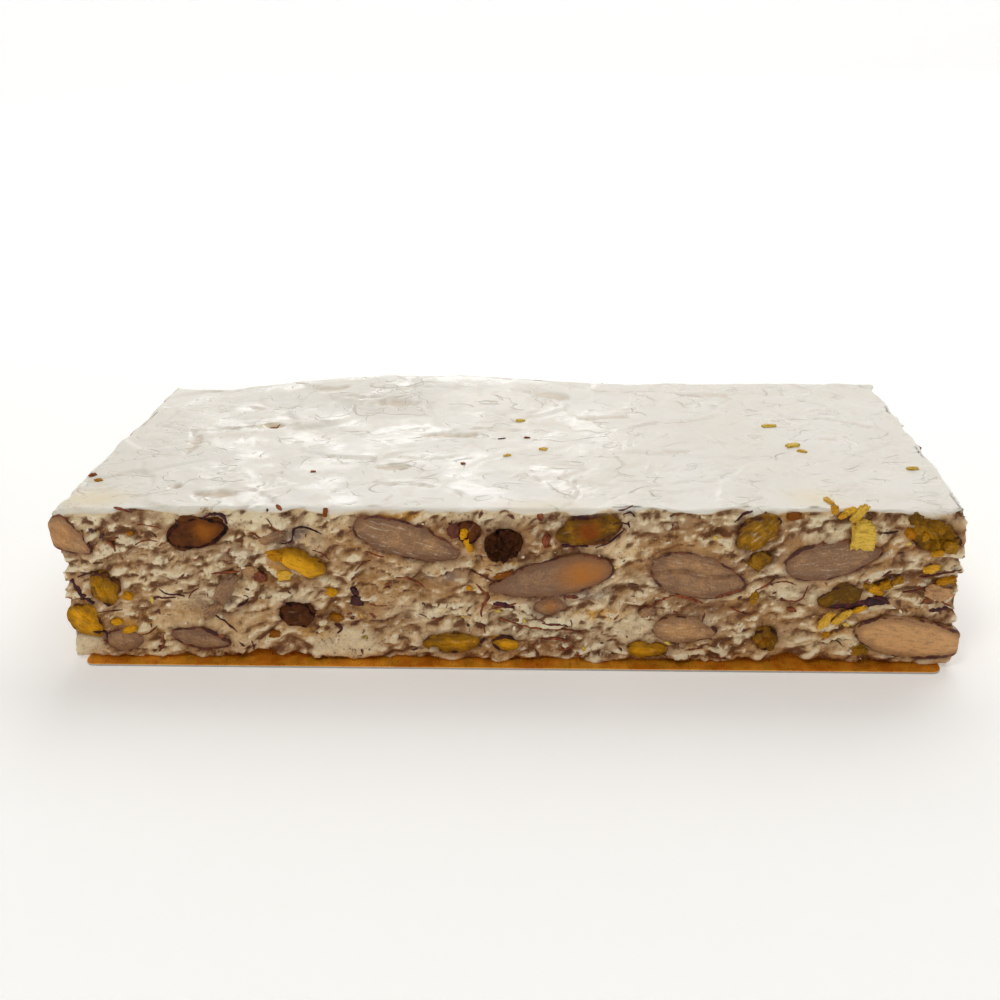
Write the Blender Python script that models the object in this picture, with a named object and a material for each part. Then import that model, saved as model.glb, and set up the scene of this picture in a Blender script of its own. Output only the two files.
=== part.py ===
"""A bar of soft white nougat with whole almonds and pistachios, on the gold card it is sold on.

The bar was cut from a slab: its four walls are torn by the knife, so they are ragged and show the
nuts in section, while its top is the smooth skin that set under the slab's cover sheet.

Frame: X runs along the bar, Y from its front wall (-Y) to its back, Z up. The origin is the middle
of the card's underside. Sizes in the tables are millimetres; the mesh is built in metres.
"""

import math
from typing import NamedTuple

import bmesh
import bpy
from mathutils import Matrix, Vector, noise

MM = 0.001

# Driving sizes, in millimetres.
LENGTH = 190.0
DEPTH = 86.0
TOP = 36.0
CARD_LENGTH = 184.0
CARD_DEPTH = 91.0
CARD_THICK = 0.6
CARD_CORNER = 2.0
GAP = 0.3

BASE = CARD_THICK + GAP
SKIN_ROUND = 1.6
SKIN_COVER = 1.2
NUT_PROUD = 0.15

# How many cells the block's coarse grid has along X, Y and Z.
CELLS = (20, 9, 5)

UP = Vector((0, 0, 1))
WALLS = {
    "front": (Vector((0, -1, 0)), DEPTH / 2),
    "back": (Vector((0, 1, 0)), DEPTH / 2),
    "left": (Vector((-1, 0, 0)), LENGTH / 2),
    "right": (Vector((1, 0, 0)), LENGTH / 2),
}

# How many sides and rings a nut's shell has.
ALMOND_SHELL = (10, 7)
PISTACHIO_SHELL = (8, 5)

COLOURS = {
    "nougat": ((0.86, 0.80, 0.68), 0.55, 0.0),
    "almond": ((0.72, 0.53, 0.34), 0.45, 0.0),
    "pistachio": ((0.55, 0.45, 0.06), 0.50, 0.0),
    "toasted": ((0.20, 0.09, 0.03), 0.60, 0.0),
    "gold_card": ((0.85, 0.52, 0.12), 0.25, 0.9),
}


class Nut(NamedTuple):
    """One nut that a wall cuts: where its middle lies on the wall and the size of its section."""

    wall: str
    u: float
    v: float
    tilt: float
    length: float
    width: float
    deep: float
    proud: float = NUT_PROUD


ALMONDS = [
    Nut("front", -95.5, 32.3, -36, 22.0, 8.6, 9.0),
    Nut("front", -82.9, 4.9, 4, 9.0, 5.4, 8.0),
    Nut("front", -65.8, 5.4, -12, 13.8, 5.2, 9.0),
    Nut("front", -19.4, 29.2, -17, 24.6, 8.4, 10.0),
    Nut("front", 10.3, 20.9, 192, 27.0, 8.6, 11.0),
    Nut("front", 10.4, 14.1, 6, 8.4, 3.8, 8.0),
    Nut("front", 41.0, 21.2, -12, 20.6, 10.4, 10.0),
    Nut("front", 38.5, 8.6, -4, 14.2, 6.4, 9.0),
    Nut("front", 68.0, 25.3, 12, 20.6, 8.6, 10.0),
    Nut("front", 86.6, 7.0, -8, 26.0, 9.2, 11.0),
    Nut("left", 9.0, 27.0, -12, 21.0, 8.4, 9.0),
    Nut("left", -17.0, 11.0, 14, 23.0, 9.0, 10.0),
    Nut("right", -9.0, 26.5, 11, 22.0, 8.8, 10.0),
    Nut("right", 19.0, 10.5, 168, 23.0, 8.4, 10.0),
    Nut("back", -79.0, 24.5, 14, 21.0, 9.0, 10.0),
    Nut("back", -56.0, 9.5, -9, 24.0, 8.6, 11.0),
    Nut("back", -31.0, 27.0, 172, 22.0, 8.8, 9.0),
    Nut("back", -6.0, 11.5, 18, 20.0, 9.6, 10.0),
    Nut("back", 17.0, 27.5, -15, 24.0, 8.2, 10.0),
    Nut("back", 41.0, 10.0, 190, 22.0, 9.0, 10.0),
    Nut("back", 64.0, 25.0, 8, 18.0, 8.0, 9.0),
    Nut("back", 84.0, 9.0, -20, 15.0, 7.0, 9.0),
]

PISTACHIOS = [
    Nut("front", -85.6, 17.8, -58, 9.4, 7.4, 7.0, 0.9),
    Nut("front", -91.2, 9.8, -48, 10.0, 6.6, 7.0, 0.6),
    Nut("front", -42.1, 24.5, -25, 14.6, 5.8, 7.0, 1.3),
    Nut("front", 17.9, 32.0, 12, 15.0, 7.4, 8.0, 0.5),
    Nut("front", -11.2, 5.0, 2, 13.4, 4.8, 7.0),
    Nut("front", 0.6, 5.1, -8, 6.8, 3.7, 6.0, 0.5),
    Nut("front", 52.4, 31.4, 38, 11.4, 7.4, 8.0, 0.6),
    Nut("front", 30.7, 3.6, 0, 10.8, 3.6, 6.0),
    Nut("front", 55.4, 6.4, -10, 7.0, 5.2, 6.0, 0.5),
    Nut("front", 70.3, 16.6, 18, 10.6, 5.2, 7.0, 0.3),
    Nut("front", 87.6, 30.6, -18, 11.6, 7.8, 7.0, 0.7),
    Nut("left", -12.0, 24.5, 40, 11.0, 7.2, 7.0, 0.6),
    Nut("left", 21.0, 10.0, -20, 13.0, 6.4, 7.0, 0.4),
    Nut("left", -33.0, 27.0, 8, 11.0, 7.4, 7.0, 0.8),
    Nut("right", -25.0, 13.0, 30, 12.0, 7.0, 7.0, 0.5),
    Nut("right", 11.0, 22.0, -24, 10.0, 6.0, 7.0, 0.8),
    Nut("right", 32.0, 28.5, 15, 12.0, 7.2, 7.0, 0.4),
    Nut("back", -72.0, 8.0, -24, 11.0, 6.4, 7.0, 0.6),
    Nut("back", -54.0, 28.0, 20, 12.0, 7.2, 7.0, 0.4),
    Nut("back", -33.0, 14.0, 48, 10.0, 6.6, 7.0, 0.8),
    Nut("back", -8.0, 28.0, -10, 13.0, 7.4, 7.0, 0.5),
    Nut("back", 18.0, 12.5, 22, 11.0, 6.2, 7.0, 0.9),
    Nut("back", 42.0, 27.5, -30, 12.0, 7.0, 7.0, 0.4),
    Nut("back", 66.0, 9.0, 12, 10.0, 6.8, 7.0, 0.7),
]

TOASTED = [
    Nut("front", -64.0, 31.0, 12, 14.4, 6.8, 8.0),
    Nut("front", -44.1, 11.8, -22, 8.6, 6.4, 7.0, 0.4),
    Nut("front", -6.8, 31.2, 20, 5.6, 5.0, 6.0, 0.3),
    Nut("front", 0.6, 28.2, 76, 8.8, 7.4, 7.0, 0.6),
    Nut("right", 34.0, 17.0, 64, 8.0, 6.6, 7.0, 0.5),
    Nut("back", 84.0, 24.5, 30, 8.4, 7.0, 7.0, 0.4),
]


class Dent(NamedTuple):
    """A place where a wall is torn away: its middle, its half width and half height, its depth."""

    wall: str
    u: float
    v: float
    half_u: float
    half_v: float
    deep: float


DENTS = [
    Dent("left", 38.0, 26.5, 16.0, 3.6, 1.9),
    Dent("left", -20.0, 19.0, 14.0, 4.5, 1.4),
    Dent("left", 6.0, 6.0, 12.0, 4.0, 1.6),
    Dent("right", -36.0, 13.0, 18.0, 4.5, 2.3),
    Dent("right", -34.0, 27.5, 12.0, 3.5, 0.9),
    Dent("right", 16.0, 31.0, 14.0, 3.5, 1.5),
    Dent("front", -69.0, 12.0, 9.0, 5.0, 1.5),
    Dent("front", -40.0, 30.0, 7.0, 3.5, 1.2),
    Dent("front", 60.0, 17.0, 9.0, 4.0, 0.9),
    Dent("back", -20.0, 20.0, 12.0, 4.0, 1.4),
    Dent("back", 54.0, 18.0, 10.0, 4.0, 1.2),
]


class Lift(NamedTuple):
    """A place where the bar's lower edge stands clear of the card, or its top swells."""

    x: float
    y: float
    half_x: float
    half_y: float
    high: float


ARCHES = [
    Lift(-53.2, -43.0, 6.0, 9.0, 1.7),
    Lift(60.1, -43.0, 6.5, 9.0, 1.6),
    Lift(-15.0, 43.0, 8.0, 9.0, 1.5),
    Lift(72.0, 43.0, 7.0, 9.0, 1.3),
]

SWELLS = [
    Lift(-24.0, 40.0, 60.0, 26.0, 3.0),
    Lift(-84.0, 40.0, 16.0, 24.0, -0.9),
    Lift(48.0, 8.0, 34.0, 26.0, 0.5),
    Lift(-50.0, -14.0, 30.0, 20.0, 0.4),
    Lift(92.0, 34.0, 14.0, 18.0, -0.8),
]


def bump(distance):
    """1 at the middle, falling smoothly to 0 at distance 1 and beyond."""
    if distance >= 1:
        return 0.0
    return (1 - distance * distance) ** 2


def lifted(places, x, y):
    """The height that a list of swells or arches adds at (x, y)."""
    return sum(
        p.high * bump(math.hypot((x - p.x) / p.half_x, (y - p.y) / p.half_y))
        for p in places
    )


def wall_axes(wall):
    """The wall's outward normal, its own u axis, which runs to the right seen from outside, and its plane."""
    normal, reach = WALLS[wall]
    return normal, UP.cross(normal), reach


def torn(wall, u, v):
    """How far the wall is torn inwards at (u, v). It is 0 where the wall reaches the bar's full size."""
    wave = noise.fractal(
        Vector((u / 17.0, v / 9.0, 7.3 * len(wall))), 0.9, 2.0, 3, noise_basis="PERLIN_ORIGINAL"
    )
    inset = 0.1 + 1.3 * wave
    for d in DENTS:
        if d.wall == wall:
            inset += d.deep * bump(math.hypot((u - d.u) / d.half_u, (v - d.v) / d.half_v))
    return max(0.0, inset)


def shaped(a, b, c):
    """The point of the bar at a and b from -1 to 1 along X and Y, and c from 0 to 1 up the wall."""
    x, y = a * LENGTH / 2, b * DEPTH / 2
    bottom = BASE + lifted(ARCHES, x, y)
    top = TOP + lifted(SWELLS, x, y)
    z = bottom + c * (top - bottom)
    side = "right" if a > 0 else "left"
    face = "back" if b > 0 else "front"
    end_u = y * (1 if a > 0 else -1)
    face_u = x * (-1 if b > 0 else 1)
    x -= a * torn(side, end_u, z)
    y -= b * torn(face, face_u, z)
    return Vector((x, y, z)) * MM


def new_object(name, bm, colour):
    """Links a mesh object that has its own copy of one of the colours above."""
    mesh = bpy.data.meshes.new(name)
    bm.to_mesh(mesh)
    bm.free()
    obj = bpy.data.objects.new(name, mesh)
    bpy.context.scene.collection.objects.link(obj)
    base, rough, metal = COLOURS[colour]
    material = bpy.data.materials.new(name)
    material.use_nodes = True
    shader = material.node_tree.nodes["Principled BSDF"]
    shader.inputs["Base Color"].default_value = (*base, 1)
    shader.inputs["Roughness"].default_value = rough
    shader.inputs["Metallic"].default_value = metal
    mesh.materials.append(material)
    return obj


def block():
    """The nougat itself: a gridded box with a rounded top rim, shaped by the torn walls and the swells."""
    bm = bmesh.new()
    bmesh.ops.create_cube(bm, size=1)
    for axis, cells in enumerate(CELLS):
        along = [
            e
            for e in bm.edges
            if abs(abs((e.verts[0].co - e.verts[1].co)[axis]) - 1) < 1e-6
        ]
        bmesh.ops.subdivide_edges(bm, edges=along, cuts=cells - 1, use_grid_fill=True)
    for vert in bm.verts:
        vert.co = Vector((vert.co.x * LENGTH, vert.co.y * DEPTH, (vert.co.z + 0.5) * TOP))
    rim = [
        e
        for e in bm.edges
        if len({round(f.normal.z, 3) for f in e.link_faces}) == 2
        and all(abs(v.co.z - TOP) < 1e-6 for v in e.verts)
    ]
    bmesh.ops.bevel(
        bm, geom=rim, offset=SKIN_ROUND, segments=2, profile=0.5, affect="EDGES", clamp_overlap=True
    )
    for vert in bm.verts:
        x, y, z = vert.co
        vert.co = shaped(2 * x / LENGTH, 2 * y / DEPTH, z / TOP)
    bmesh.ops.recalc_face_normals(bm, faces=bm.faces)
    return new_object("nougat", bm, "nougat")


def almond_profile(s):
    """Half thickness along an almond, from its round end at 0 to its point at 1."""
    widest = 0.40
    if s < widest:
        return math.sqrt(1 - (1 - s / widest) ** 2)
    return math.cos(math.pi / 2 * ((s - widest) / (1 - widest)) ** 1.25) ** 0.85


def pistachio_profile(s):
    """Half thickness along a pistachio, which is nearly the same at both ends."""
    return math.sin(math.pi * s) ** 0.72


def kernel(nut, profile, shell, grow=0.0):
    """A whole nut as a closed shell in the wall's place, larger all round by grow."""
    sides, rings = shell
    half_length = nut.length / 2 + grow
    half_width = nut.width / 2 + grow
    half_deep = nut.deep / 2 + grow
    bm = bmesh.new()
    ends = [bm.verts.new((-half_length, 0, 0)), bm.verts.new((half_length, 0, 0))]
    loops = []
    for i in range(1, rings):
        s = (1 - math.cos(math.pi * i / rings)) / 2
        r = profile(s)
        loops.append(
            [
                bm.verts.new(
                    (
                        (2 * s - 1) * half_length,
                        r * half_width * math.cos(2 * math.pi * j / sides),
                        r * half_deep * math.sin(2 * math.pi * j / sides),
                    )
                )
                for j in range(sides)
            ]
        )
    for j in range(sides):
        k = (j + 1) % sides
        bm.faces.new((ends[0], loops[0][k], loops[0][j]))
        bm.faces.new((ends[1], loops[-1][j], loops[-1][k]))
        for low, high in zip(loops, loops[1:]):
            bm.faces.new((low[j], low[k], high[k], high[j]))
    normal, across, reach = wall_axes(nut.wall)
    turn = Matrix.Rotation(math.radians(nut.tilt), 3, normal)
    long_axis = turn @ across
    wide_axis = turn @ UP
    place = Matrix((long_axis, wide_axis, normal)).transposed().to_4x4()
    place.translation = across * nut.u + UP * nut.v + normal * reach
    bm.transform(place)
    return bm


def sliced(bm, normal, distance):
    """Takes off what lies past a plane, and closes the cut."""
    cut = bmesh.ops.bisect_plane(
        bm,
        geom=[*bm.verts, *bm.edges, *bm.faces],
        plane_co=normal * distance,
        plane_no=normal,
        clear_outer=True,
    )
    edges = [g for g in cut["geom_cut"] if isinstance(g, bmesh.types.BMEdge)]
    if edges:
        bmesh.ops.edgeloop_fill(bm, edges=edges)
    return bm


def trimmed(bm, nut):
    """Cuts a nut where the knife went: at its own wall, and at any other wall that it crosses."""
    for wall in WALLS:
        normal, _, reach = wall_axes(wall)
        sliced(bm, normal, reach + (nut.proud if wall == nut.wall else NUT_PROUD))
    return bm


def finished(bm):
    """Turns every face outwards and takes the mesh from millimetres to metres."""
    bmesh.ops.recalc_face_normals(bm, faces=bm.faces)
    bmesh.ops.scale(bm, vec=(MM, MM, MM), verts=bm.verts)
    return bm


def add_nuts(kind, nuts, profile, shell, cutters):
    """Makes one object for each nut of a kind, and adds its pocket to the cutters."""
    counts = {}
    for nut in nuts:
        counts[nut.wall] = counts.get(nut.wall, 0) + 1
        name = f"{kind}_{nut.wall}_{counts[nut.wall]:02d}"
        piece = sliced(kernel(nut, profile, shell), UP, TOP - SKIN_COVER)
        new_object(name, finished(trimmed(piece, nut)), kind)
        pocket = finished(sliced(kernel(nut, profile, shell, grow=GAP), UP, TOP - SKIN_COVER + GAP))
        mesh = bpy.data.meshes.new(name + "_pocket")
        pocket.to_mesh(mesh)
        pocket.free()
        cutters.from_mesh(mesh)
        bpy.data.meshes.remove(mesh)


def cut_pockets(nougat, cutters):
    """Sinks every nut's pocket into the nougat with one Boolean."""
    mesh = bpy.data.meshes.new("nut_pockets")
    cutters.to_mesh(mesh)
    cutters.free()
    helper = bpy.data.objects.new("nut_pockets", mesh)
    bpy.context.scene.collection.objects.link(helper)
    helper.hide_render = True
    helper.display_type = "WIRE"
    cut = nougat.modifiers.new("pockets", "BOOLEAN")
    cut.operation = "DIFFERENCE"
    cut.object = helper
    cut.use_self = True


def gold_card():
    """The card under the bar: a thin sheet with clipped corners."""
    bm = bmesh.new()
    bmesh.ops.create_cube(bm, size=1)
    for vert in bm.verts:
        vert.co = Vector(
            (vert.co.x * CARD_LENGTH, vert.co.y * CARD_DEPTH, (vert.co.z + 0.5) * CARD_THICK)
        )
    corners = [e for e in bm.edges if abs(e.verts[0].co.z - e.verts[1].co.z) > CARD_THICK / 2]
    bmesh.ops.bevel(bm, geom=corners, offset=CARD_CORNER, segments=3, profile=0.5, affect="EDGES")
    return new_object("gold_card", finished(bm), "gold_card")


def main():
    for obj in list(bpy.data.objects):
        bpy.data.objects.remove(obj)
    nougat = block()
    gold_card()
    cutters = bmesh.new()
    add_nuts("almond", ALMONDS, almond_profile, ALMOND_SHELL, cutters)
    add_nuts("pistachio", PISTACHIOS, pistachio_profile, PISTACHIO_SHELL, cutters)
    add_nuts("toasted", TOASTED, pistachio_profile, PISTACHIO_SHELL, cutters)
    cut_pockets(nougat, cutters)


main()
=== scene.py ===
# %% [markdown]
# # A bar of white nougat
#
# Nougat is whipped honey and sugar, full of whole nuts. It is poured into a slab, which sets with a
# smooth skin on top. The bar is then sawn out of the slab, so its four walls are torn, and every
# nut in a wall is cut through. This notebook makes the looks of that bar around a finished plain
# model of it: the torn walls, the skin, the nuts in section, and the crumbs that the saw left.

# %% Tools and the plain model
import itertools
import math
from typing import NamedTuple

import bmesh
import bpy
import numpy as np
from mathutils import Matrix, Vector
from mathutils.bvhtree import BVHTree


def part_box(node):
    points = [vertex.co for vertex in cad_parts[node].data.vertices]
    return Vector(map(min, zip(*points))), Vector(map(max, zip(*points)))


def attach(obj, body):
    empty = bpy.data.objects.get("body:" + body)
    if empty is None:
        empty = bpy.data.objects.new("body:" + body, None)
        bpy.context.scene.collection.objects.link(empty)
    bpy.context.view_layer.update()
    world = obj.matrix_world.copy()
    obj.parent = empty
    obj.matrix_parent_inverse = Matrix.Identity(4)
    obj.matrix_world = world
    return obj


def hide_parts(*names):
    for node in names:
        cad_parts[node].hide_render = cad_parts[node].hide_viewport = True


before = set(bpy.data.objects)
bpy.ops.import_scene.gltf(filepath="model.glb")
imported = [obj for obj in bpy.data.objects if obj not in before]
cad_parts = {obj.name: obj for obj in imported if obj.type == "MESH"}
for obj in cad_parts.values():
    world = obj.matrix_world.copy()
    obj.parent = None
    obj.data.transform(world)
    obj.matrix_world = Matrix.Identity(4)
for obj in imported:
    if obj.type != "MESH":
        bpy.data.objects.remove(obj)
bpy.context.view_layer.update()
MM = 0.001

# %% [markdown]
# The plain model gives every size. The bar's own box sets the length and depth of the walls, and
# the nuts' boxes say where each one lies. All sums below are in millimetres, because a crumb of
# 0.8 is easier to think about than one of 0.0008, and each mesh is scaled once, when it is made.

# %% Sizes that everything shares
low, high = (np.array(corner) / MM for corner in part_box("nougat"))
HALF = np.array([round(high[0]), round(high[1])])
BASE = low[2]
SKIN_TOP = 36.0
LIP_ROUND = 1.7
CELL = (0.56, 0.80, 0.55)
NUTS = [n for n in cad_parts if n.split("_")[0] in ("almond", "pistachio", "toasted")]
print(f"walls at x = {HALF[0]} and y = {HALF[1]}, base at {BASE:.2f}, {len(NUTS)} nuts")

# %% [markdown]
# Four walls go round the bar, and the skin is a fifth side. On each of them a place is written as
# (u, v). On a wall u runs to the right for someone who stands in front of it and v is the height,
# and on the skin they are x and y. One table of outward directions turns (u, v) into a point.

# %% The sides of the bar
UP = np.array([0.0, 0.0, 1.0])
WALLS = {
    "front": np.array([0.0, -1.0, 0.0]),
    "back": np.array([0.0, 1.0, 0.0]),
    "left": np.array([-1.0, 0.0, 0.0]),
    "right": np.array([1.0, 0.0, 0.0]),
}


def reach(wall):
    """How far the wall's plane lies from the middle of the bar."""
    return HALF[0] if wall in ("left", "right") else HALF[1]


def half_length(wall):
    """Half the length of the wall."""
    return HALF[1] if wall in ("left", "right") else HALF[0]


def along(wall):
    """The direction in which u grows."""
    normal = WALLS[wall]
    return np.array([-normal[1], normal[0], 0.0])


def on_side(side, u, v, out):
    """The point at (u, v) on a side, at a distance from the bar's middle plane."""
    if side == "top":
        return np.array([u, v, out])
    return along(side) * u + WALLS[side] * out + UP * v


def placed(kind, **sides):
    """Rows of numbers as named tuples of a kind, each with the side under which it is listed."""
    return [kind(side, *row) for side, rows in sides.items() for row in rows]


# %% [markdown]
# ## Camera, floor and light
#
# The bar stands in a wide pale bowl, a floor that curves up into a backdrop on every side, so that
# no horizon shows from anywhere.
# Most light comes from above and behind, as from a window, which leaves the front wall in soft
# shade. A small key light high in front grazes that wall, so every fold throws a short shadow
# downwards. A narrow pane of light stands where the skin mirrors it towards the camera.

# %% Camera
CAMERA_AT = Vector((14.98, -260.90, 132.96)) * MM
YAW, PITCH, ROLL = math.radians(-3.92), math.radians(23.36), math.radians(-1.493)

forward = Vector((math.sin(YAW) * math.cos(PITCH), math.cos(YAW) * math.cos(PITCH), -math.sin(PITCH)))
level_right = forward.cross(Vector((0, 0, 1))).normalized()
level_up = level_right.cross(forward)
right = math.cos(ROLL) * level_right + math.sin(ROLL) * level_up
up = math.cos(ROLL) * level_up - math.sin(ROLL) * level_right
camera = bpy.data.objects.new("camera", bpy.data.cameras.new("camera"))
camera.data.lens = 42.155
camera.data.sensor_width = 36.0
camera.data.clip_start = 0.01
camera.matrix_world = Matrix.Translation(CAMERA_AT) @ Matrix((right, up, -forward)).transposed().to_4x4()
bpy.context.collection.objects.link(camera)
bpy.context.scene.camera = camera
print("camera", [round(c, 3) for c in camera.location])


# %% Floor
def ring_quads(a, b, count):
    """Quads between two closed rings of points that start at numbers a and b."""
    return [(a + n, b + n, b + (n + 1) % count, a + (n + 1) % count) for n in range(count)]


def bowl(foot=1.9, bend=0.5, height=1.3, steps=16, turns=72):
    """A round floor that turns up into a backdrop on every side."""
    quarter = [math.pi / 2 * n / steps for n in range(1, steps + 1)]
    profile = [(0.5, 0.0), (1.2, 0.0), (foot, 0.0)]
    profile += [(foot + bend * math.sin(turn), bend * (1 - math.cos(turn))) for turn in quarter]
    profile.append((foot + bend, height))
    angles = [2 * math.pi * n / turns for n in range(turns)]
    points = [(r * math.cos(a), r * math.sin(a), z) for r, z in profile for a in angles]
    points.append((0, 0, 0))
    faces = [(n, (n + 1) % turns, len(points) - 1) for n in range(turns)]
    for ring in range(len(profile) - 1):
        faces += ring_quads(ring * turns, (ring + 1) * turns, turns)
    mesh = bpy.data.meshes.new("floor")
    mesh.from_pydata(points, [], faces)
    mesh.shade_smooth()
    floor = bpy.data.objects.new("floor", mesh)
    bpy.context.collection.objects.link(floor)
    return floor


def floor_material():
    """White card that also glows faintly, so that the shadow on it stays pale."""
    material = bpy.data.materials.new("white_bowl")
    material.use_nodes = True
    sockets = material.node_tree.nodes["Principled BSDF"].inputs
    sockets["Base Color"].default_value = (0.90, 0.90, 0.89, 1)
    sockets["Roughness"].default_value = 0.9
    sockets["Emission Color"].default_value = (1, 1, 1, 1)
    sockets["Emission Strength"].default_value = 0.26
    return material


floor = bowl()
floor.data.materials.append(floor_material())


# %% Lights
def area_light(name, place, aim, size, watts, colour):
    """A soft rectangular light that looks at a point."""
    data = bpy.data.lights.new(name, "AREA")
    data.shape = "RECTANGLE"
    data.size, data.size_y = size
    data.energy = watts
    data.color = colour
    light = bpy.data.objects.new(name, data)
    light.location = place
    light.rotation_euler = (Vector(aim) - Vector(place)).to_track_quat("-Z", "Y").to_euler()
    bpy.context.collection.objects.link(light)


area_light("window", (0.25, 0.75, 0.95), (0, 0, 0), (1.1, 0.8), 7.6, (1.0, 0.99, 0.975))
area_light("pane", (-0.22, 1.25, 0.50), (-0.02, 0, 0.04), (0.50, 0.22), 1.0, (0.93, 0.97, 1.0))
area_light("ceiling", (0.0, 0.2, 2.0), (0, 0.2, 0), (3.2, 3.2), 8.4, (1.0, 0.98, 0.95))
area_light("key", (-0.34, -0.55, 0.95), (0, 0, 0.02), (0.26, 0.26), 2.4, (1.0, 0.94, 0.83))
area_light("backdrop_light", (0.0, 0.9, 1.3), (0, 2.2, 0.55), (2.4, 0.5), 12.0, (1.0, 1.0, 1.0))
world = bpy.data.worlds.new("studio")
world.use_nodes = True
sky = world.node_tree.nodes["Background"].inputs
sky["Color"].default_value = (1.0, 0.99, 0.97, 1)
sky["Strength"].default_value = 0.04
bpy.context.scene.world = world
bpy.context.scene.view_settings.view_transform = "Standard"

# %% [markdown]
# ## Two helpers: noise in numpy, and nodes written as sums
#
# Shapes that Python places, such as a nut's outline, need noise that Python can read, so a few
# lines of numpy make Perlin noise: each corner of a cube grid gets a random slope, and the slopes
# are blended. Node trees are written as expressions instead of long lists of links. The class Pin
# holds one socket, and each + or * on it adds the Math node that does the sum.

# %% Perlin noise
CUBE = np.array(list(itertools.product((0, 1), repeat=3)))


def perlin(points, seed=0):
    """Noise from about -1 to 1 at each row of an (n, 3) array."""
    cell = np.floor(points).astype(np.int64)
    part = points - cell
    fade = part**3 * (part * (part * 6 - 15) + 10)
    total = np.zeros(len(points))
    for corner in CUBE:
        key = (cell + corner + seed * 131) @ np.array([73856093, 19349663, 83492791])
        key = (key ^ (key >> 13)) * 1274126177
        key = key ^ (key >> 16)
        turn = (key & 1023) / 1023 * 2 * np.pi
        lift = ((key >> 10) & 1023) / 1023 * 2 - 1
        flat = np.sqrt(1 - lift**2)
        slope = np.stack([flat * np.cos(turn), flat * np.sin(turn), lift], axis=1)
        weight = np.prod(np.where(corner, fade, 1 - fade), axis=1)
        total += weight * np.sum(slope * (part - corner), axis=1)
    return total * 1.6


def cloudy(points, octaves=3, seed=0):
    """Several layers of Perlin noise, each finer and fainter than the last."""
    layers = [perlin(points * 2**n + 17.3 * n, seed + n) / 2**n for n in range(octaves)]
    return sum(layers) / 1.3


def flat_noise(flat, size, octaves, seed, level=0.0):
    """Cloudy noise over flat places, with features of a size. Another level is another pattern."""
    return cloudy(np.c_[flat / size, np.full(len(flat), level)], octaves, seed)


def smooth(low_end, high_end, value):
    """0 below the low end, 1 above the high end, and a soft S between. The ends may be swapped."""
    part = np.clip((value - low_end) / (high_end - low_end), 0, 1)
    return part * part * (3 - 2 * part)


def mound(distance):
    """1 in the middle of a patch, falling smoothly to 0 at distance 1."""
    return np.clip(1 - distance**2, 0, None) ** 2


def oval_distance(flat, u, v, half_u, half_v, tilt=0.0):
    """Distance from the middle of an oval, where 1 is its rim. The tilt is in degrees."""
    turn = math.radians(tilt)
    du, dv = flat[:, 0] - u, flat[:, 1] - v
    across = du * math.cos(turn) + dv * math.sin(turn)
    rise = dv * math.cos(turn) - du * math.sin(turn)
    return np.hypot(across / half_u, rise / half_v)


# %% Nodes written as sums
class Pin:
    """An output socket in a node tree. Sums on it add Math nodes."""

    def __init__(self, tree, socket=None):
        self.tree = tree
        self.socket = socket

    def add(self, kind, settings=None, sockets=None, out=0):
        """Adds any node: its settings first, then its sockets' values or links."""
        node = self.tree.nodes.new(kind)
        for name, value in (settings or {}).items():
            setattr(node, name, value)
        for key, value in (sockets or {}).items():
            if isinstance(value, Pin):
                self.tree.links.new(value.socket, node.inputs[key])
            else:
                node.inputs[key].default_value = value
        return Pin(self.tree, node.outputs[out])

    def math(self, operation, *values):
        """A Math node on the values, which are pins or numbers."""
        return self.add("ShaderNodeMath", {"operation": operation}, dict(enumerate(values)))

    def __add__(self, other):
        return self.math("ADD", self, other)

    def __sub__(self, other):
        return self.math("SUBTRACT", self, other)

    def __rsub__(self, other):
        return self.math("SUBTRACT", other, self)

    def __mul__(self, other):
        return self.math("MULTIPLY", self, other)

    def __truediv__(self, other):
        return self.math("DIVIDE", self, other)

    __radd__ = __add__
    __rmul__ = __mul__

    def clamp(self):
        return self.add("ShaderNodeClamp", None, {0: self})

    def ramp(self, start, end, to_start=0.0, to_end=1.0):
        """A soft S from one value to another. The start may lie above the end."""
        if start > end:
            return self.ramp(end, start, to_end, to_start)
        settings = {"interpolation_type": "SMOOTHSTEP"}
        ends = {1: start, 2: end, 3: to_start, 4: to_end}
        return self.add("ShaderNodeMapRange", settings, {0: self, **ends})

    def stretch(self, x, y, z):
        """A vector with each axis multiplied."""
        return self.add("ShaderNodeVectorMath", {"operation": "MULTIPLY"}, {0: self, 1: (x, y, z)})

    def shifted(self, other):
        """The sum of two vectors."""
        return self.add("ShaderNodeVectorMath", {"operation": "ADD"}, {0: self, 1: other})

    def scaled(self, factor):
        """A vector times a number."""
        return self.add("ShaderNodeVectorMath", {"operation": "SCALE"}, {0: self, "Scale": factor})

    def noise(self, scale, detail=2.0, rough=0.5, out=0):
        """Cloudy noise from 0 to 1 at this vector."""
        sockets = {"Vector": self, "Scale": scale, "Detail": detail, "Roughness": rough}
        return self.add("ShaderNodeTexNoise", None, sockets, out)

    def cells(self, scale, feature="F1", **sockets):
        """Distance to the nearest of many scattered points."""
        sockets = {"Vector": self, "Scale": scale, **sockets}
        return self.add("ShaderNodeTexVoronoi", {"feature": feature}, sockets)


def paint(factor, under, over):
    """One colour over another, through a Mix node."""
    settings = {"data_type": "RGBA", "clamp_factor": True}
    return factor.add("ShaderNodeMix", settings, {0: factor, 6: colour(under), 7: colour(over)}, out=2)


def layered(base, *layers):
    """Colours painted over one another. Each layer is a mask and a colour."""
    for mask, over in layers:
        base = paint(mask, base, over)
    return base


def colour(value):
    """A colour as a socket wants it: a link stays, and three numbers gain an alpha."""
    return value if isinstance(value, Pin) else (*value, 1.0)


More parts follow.
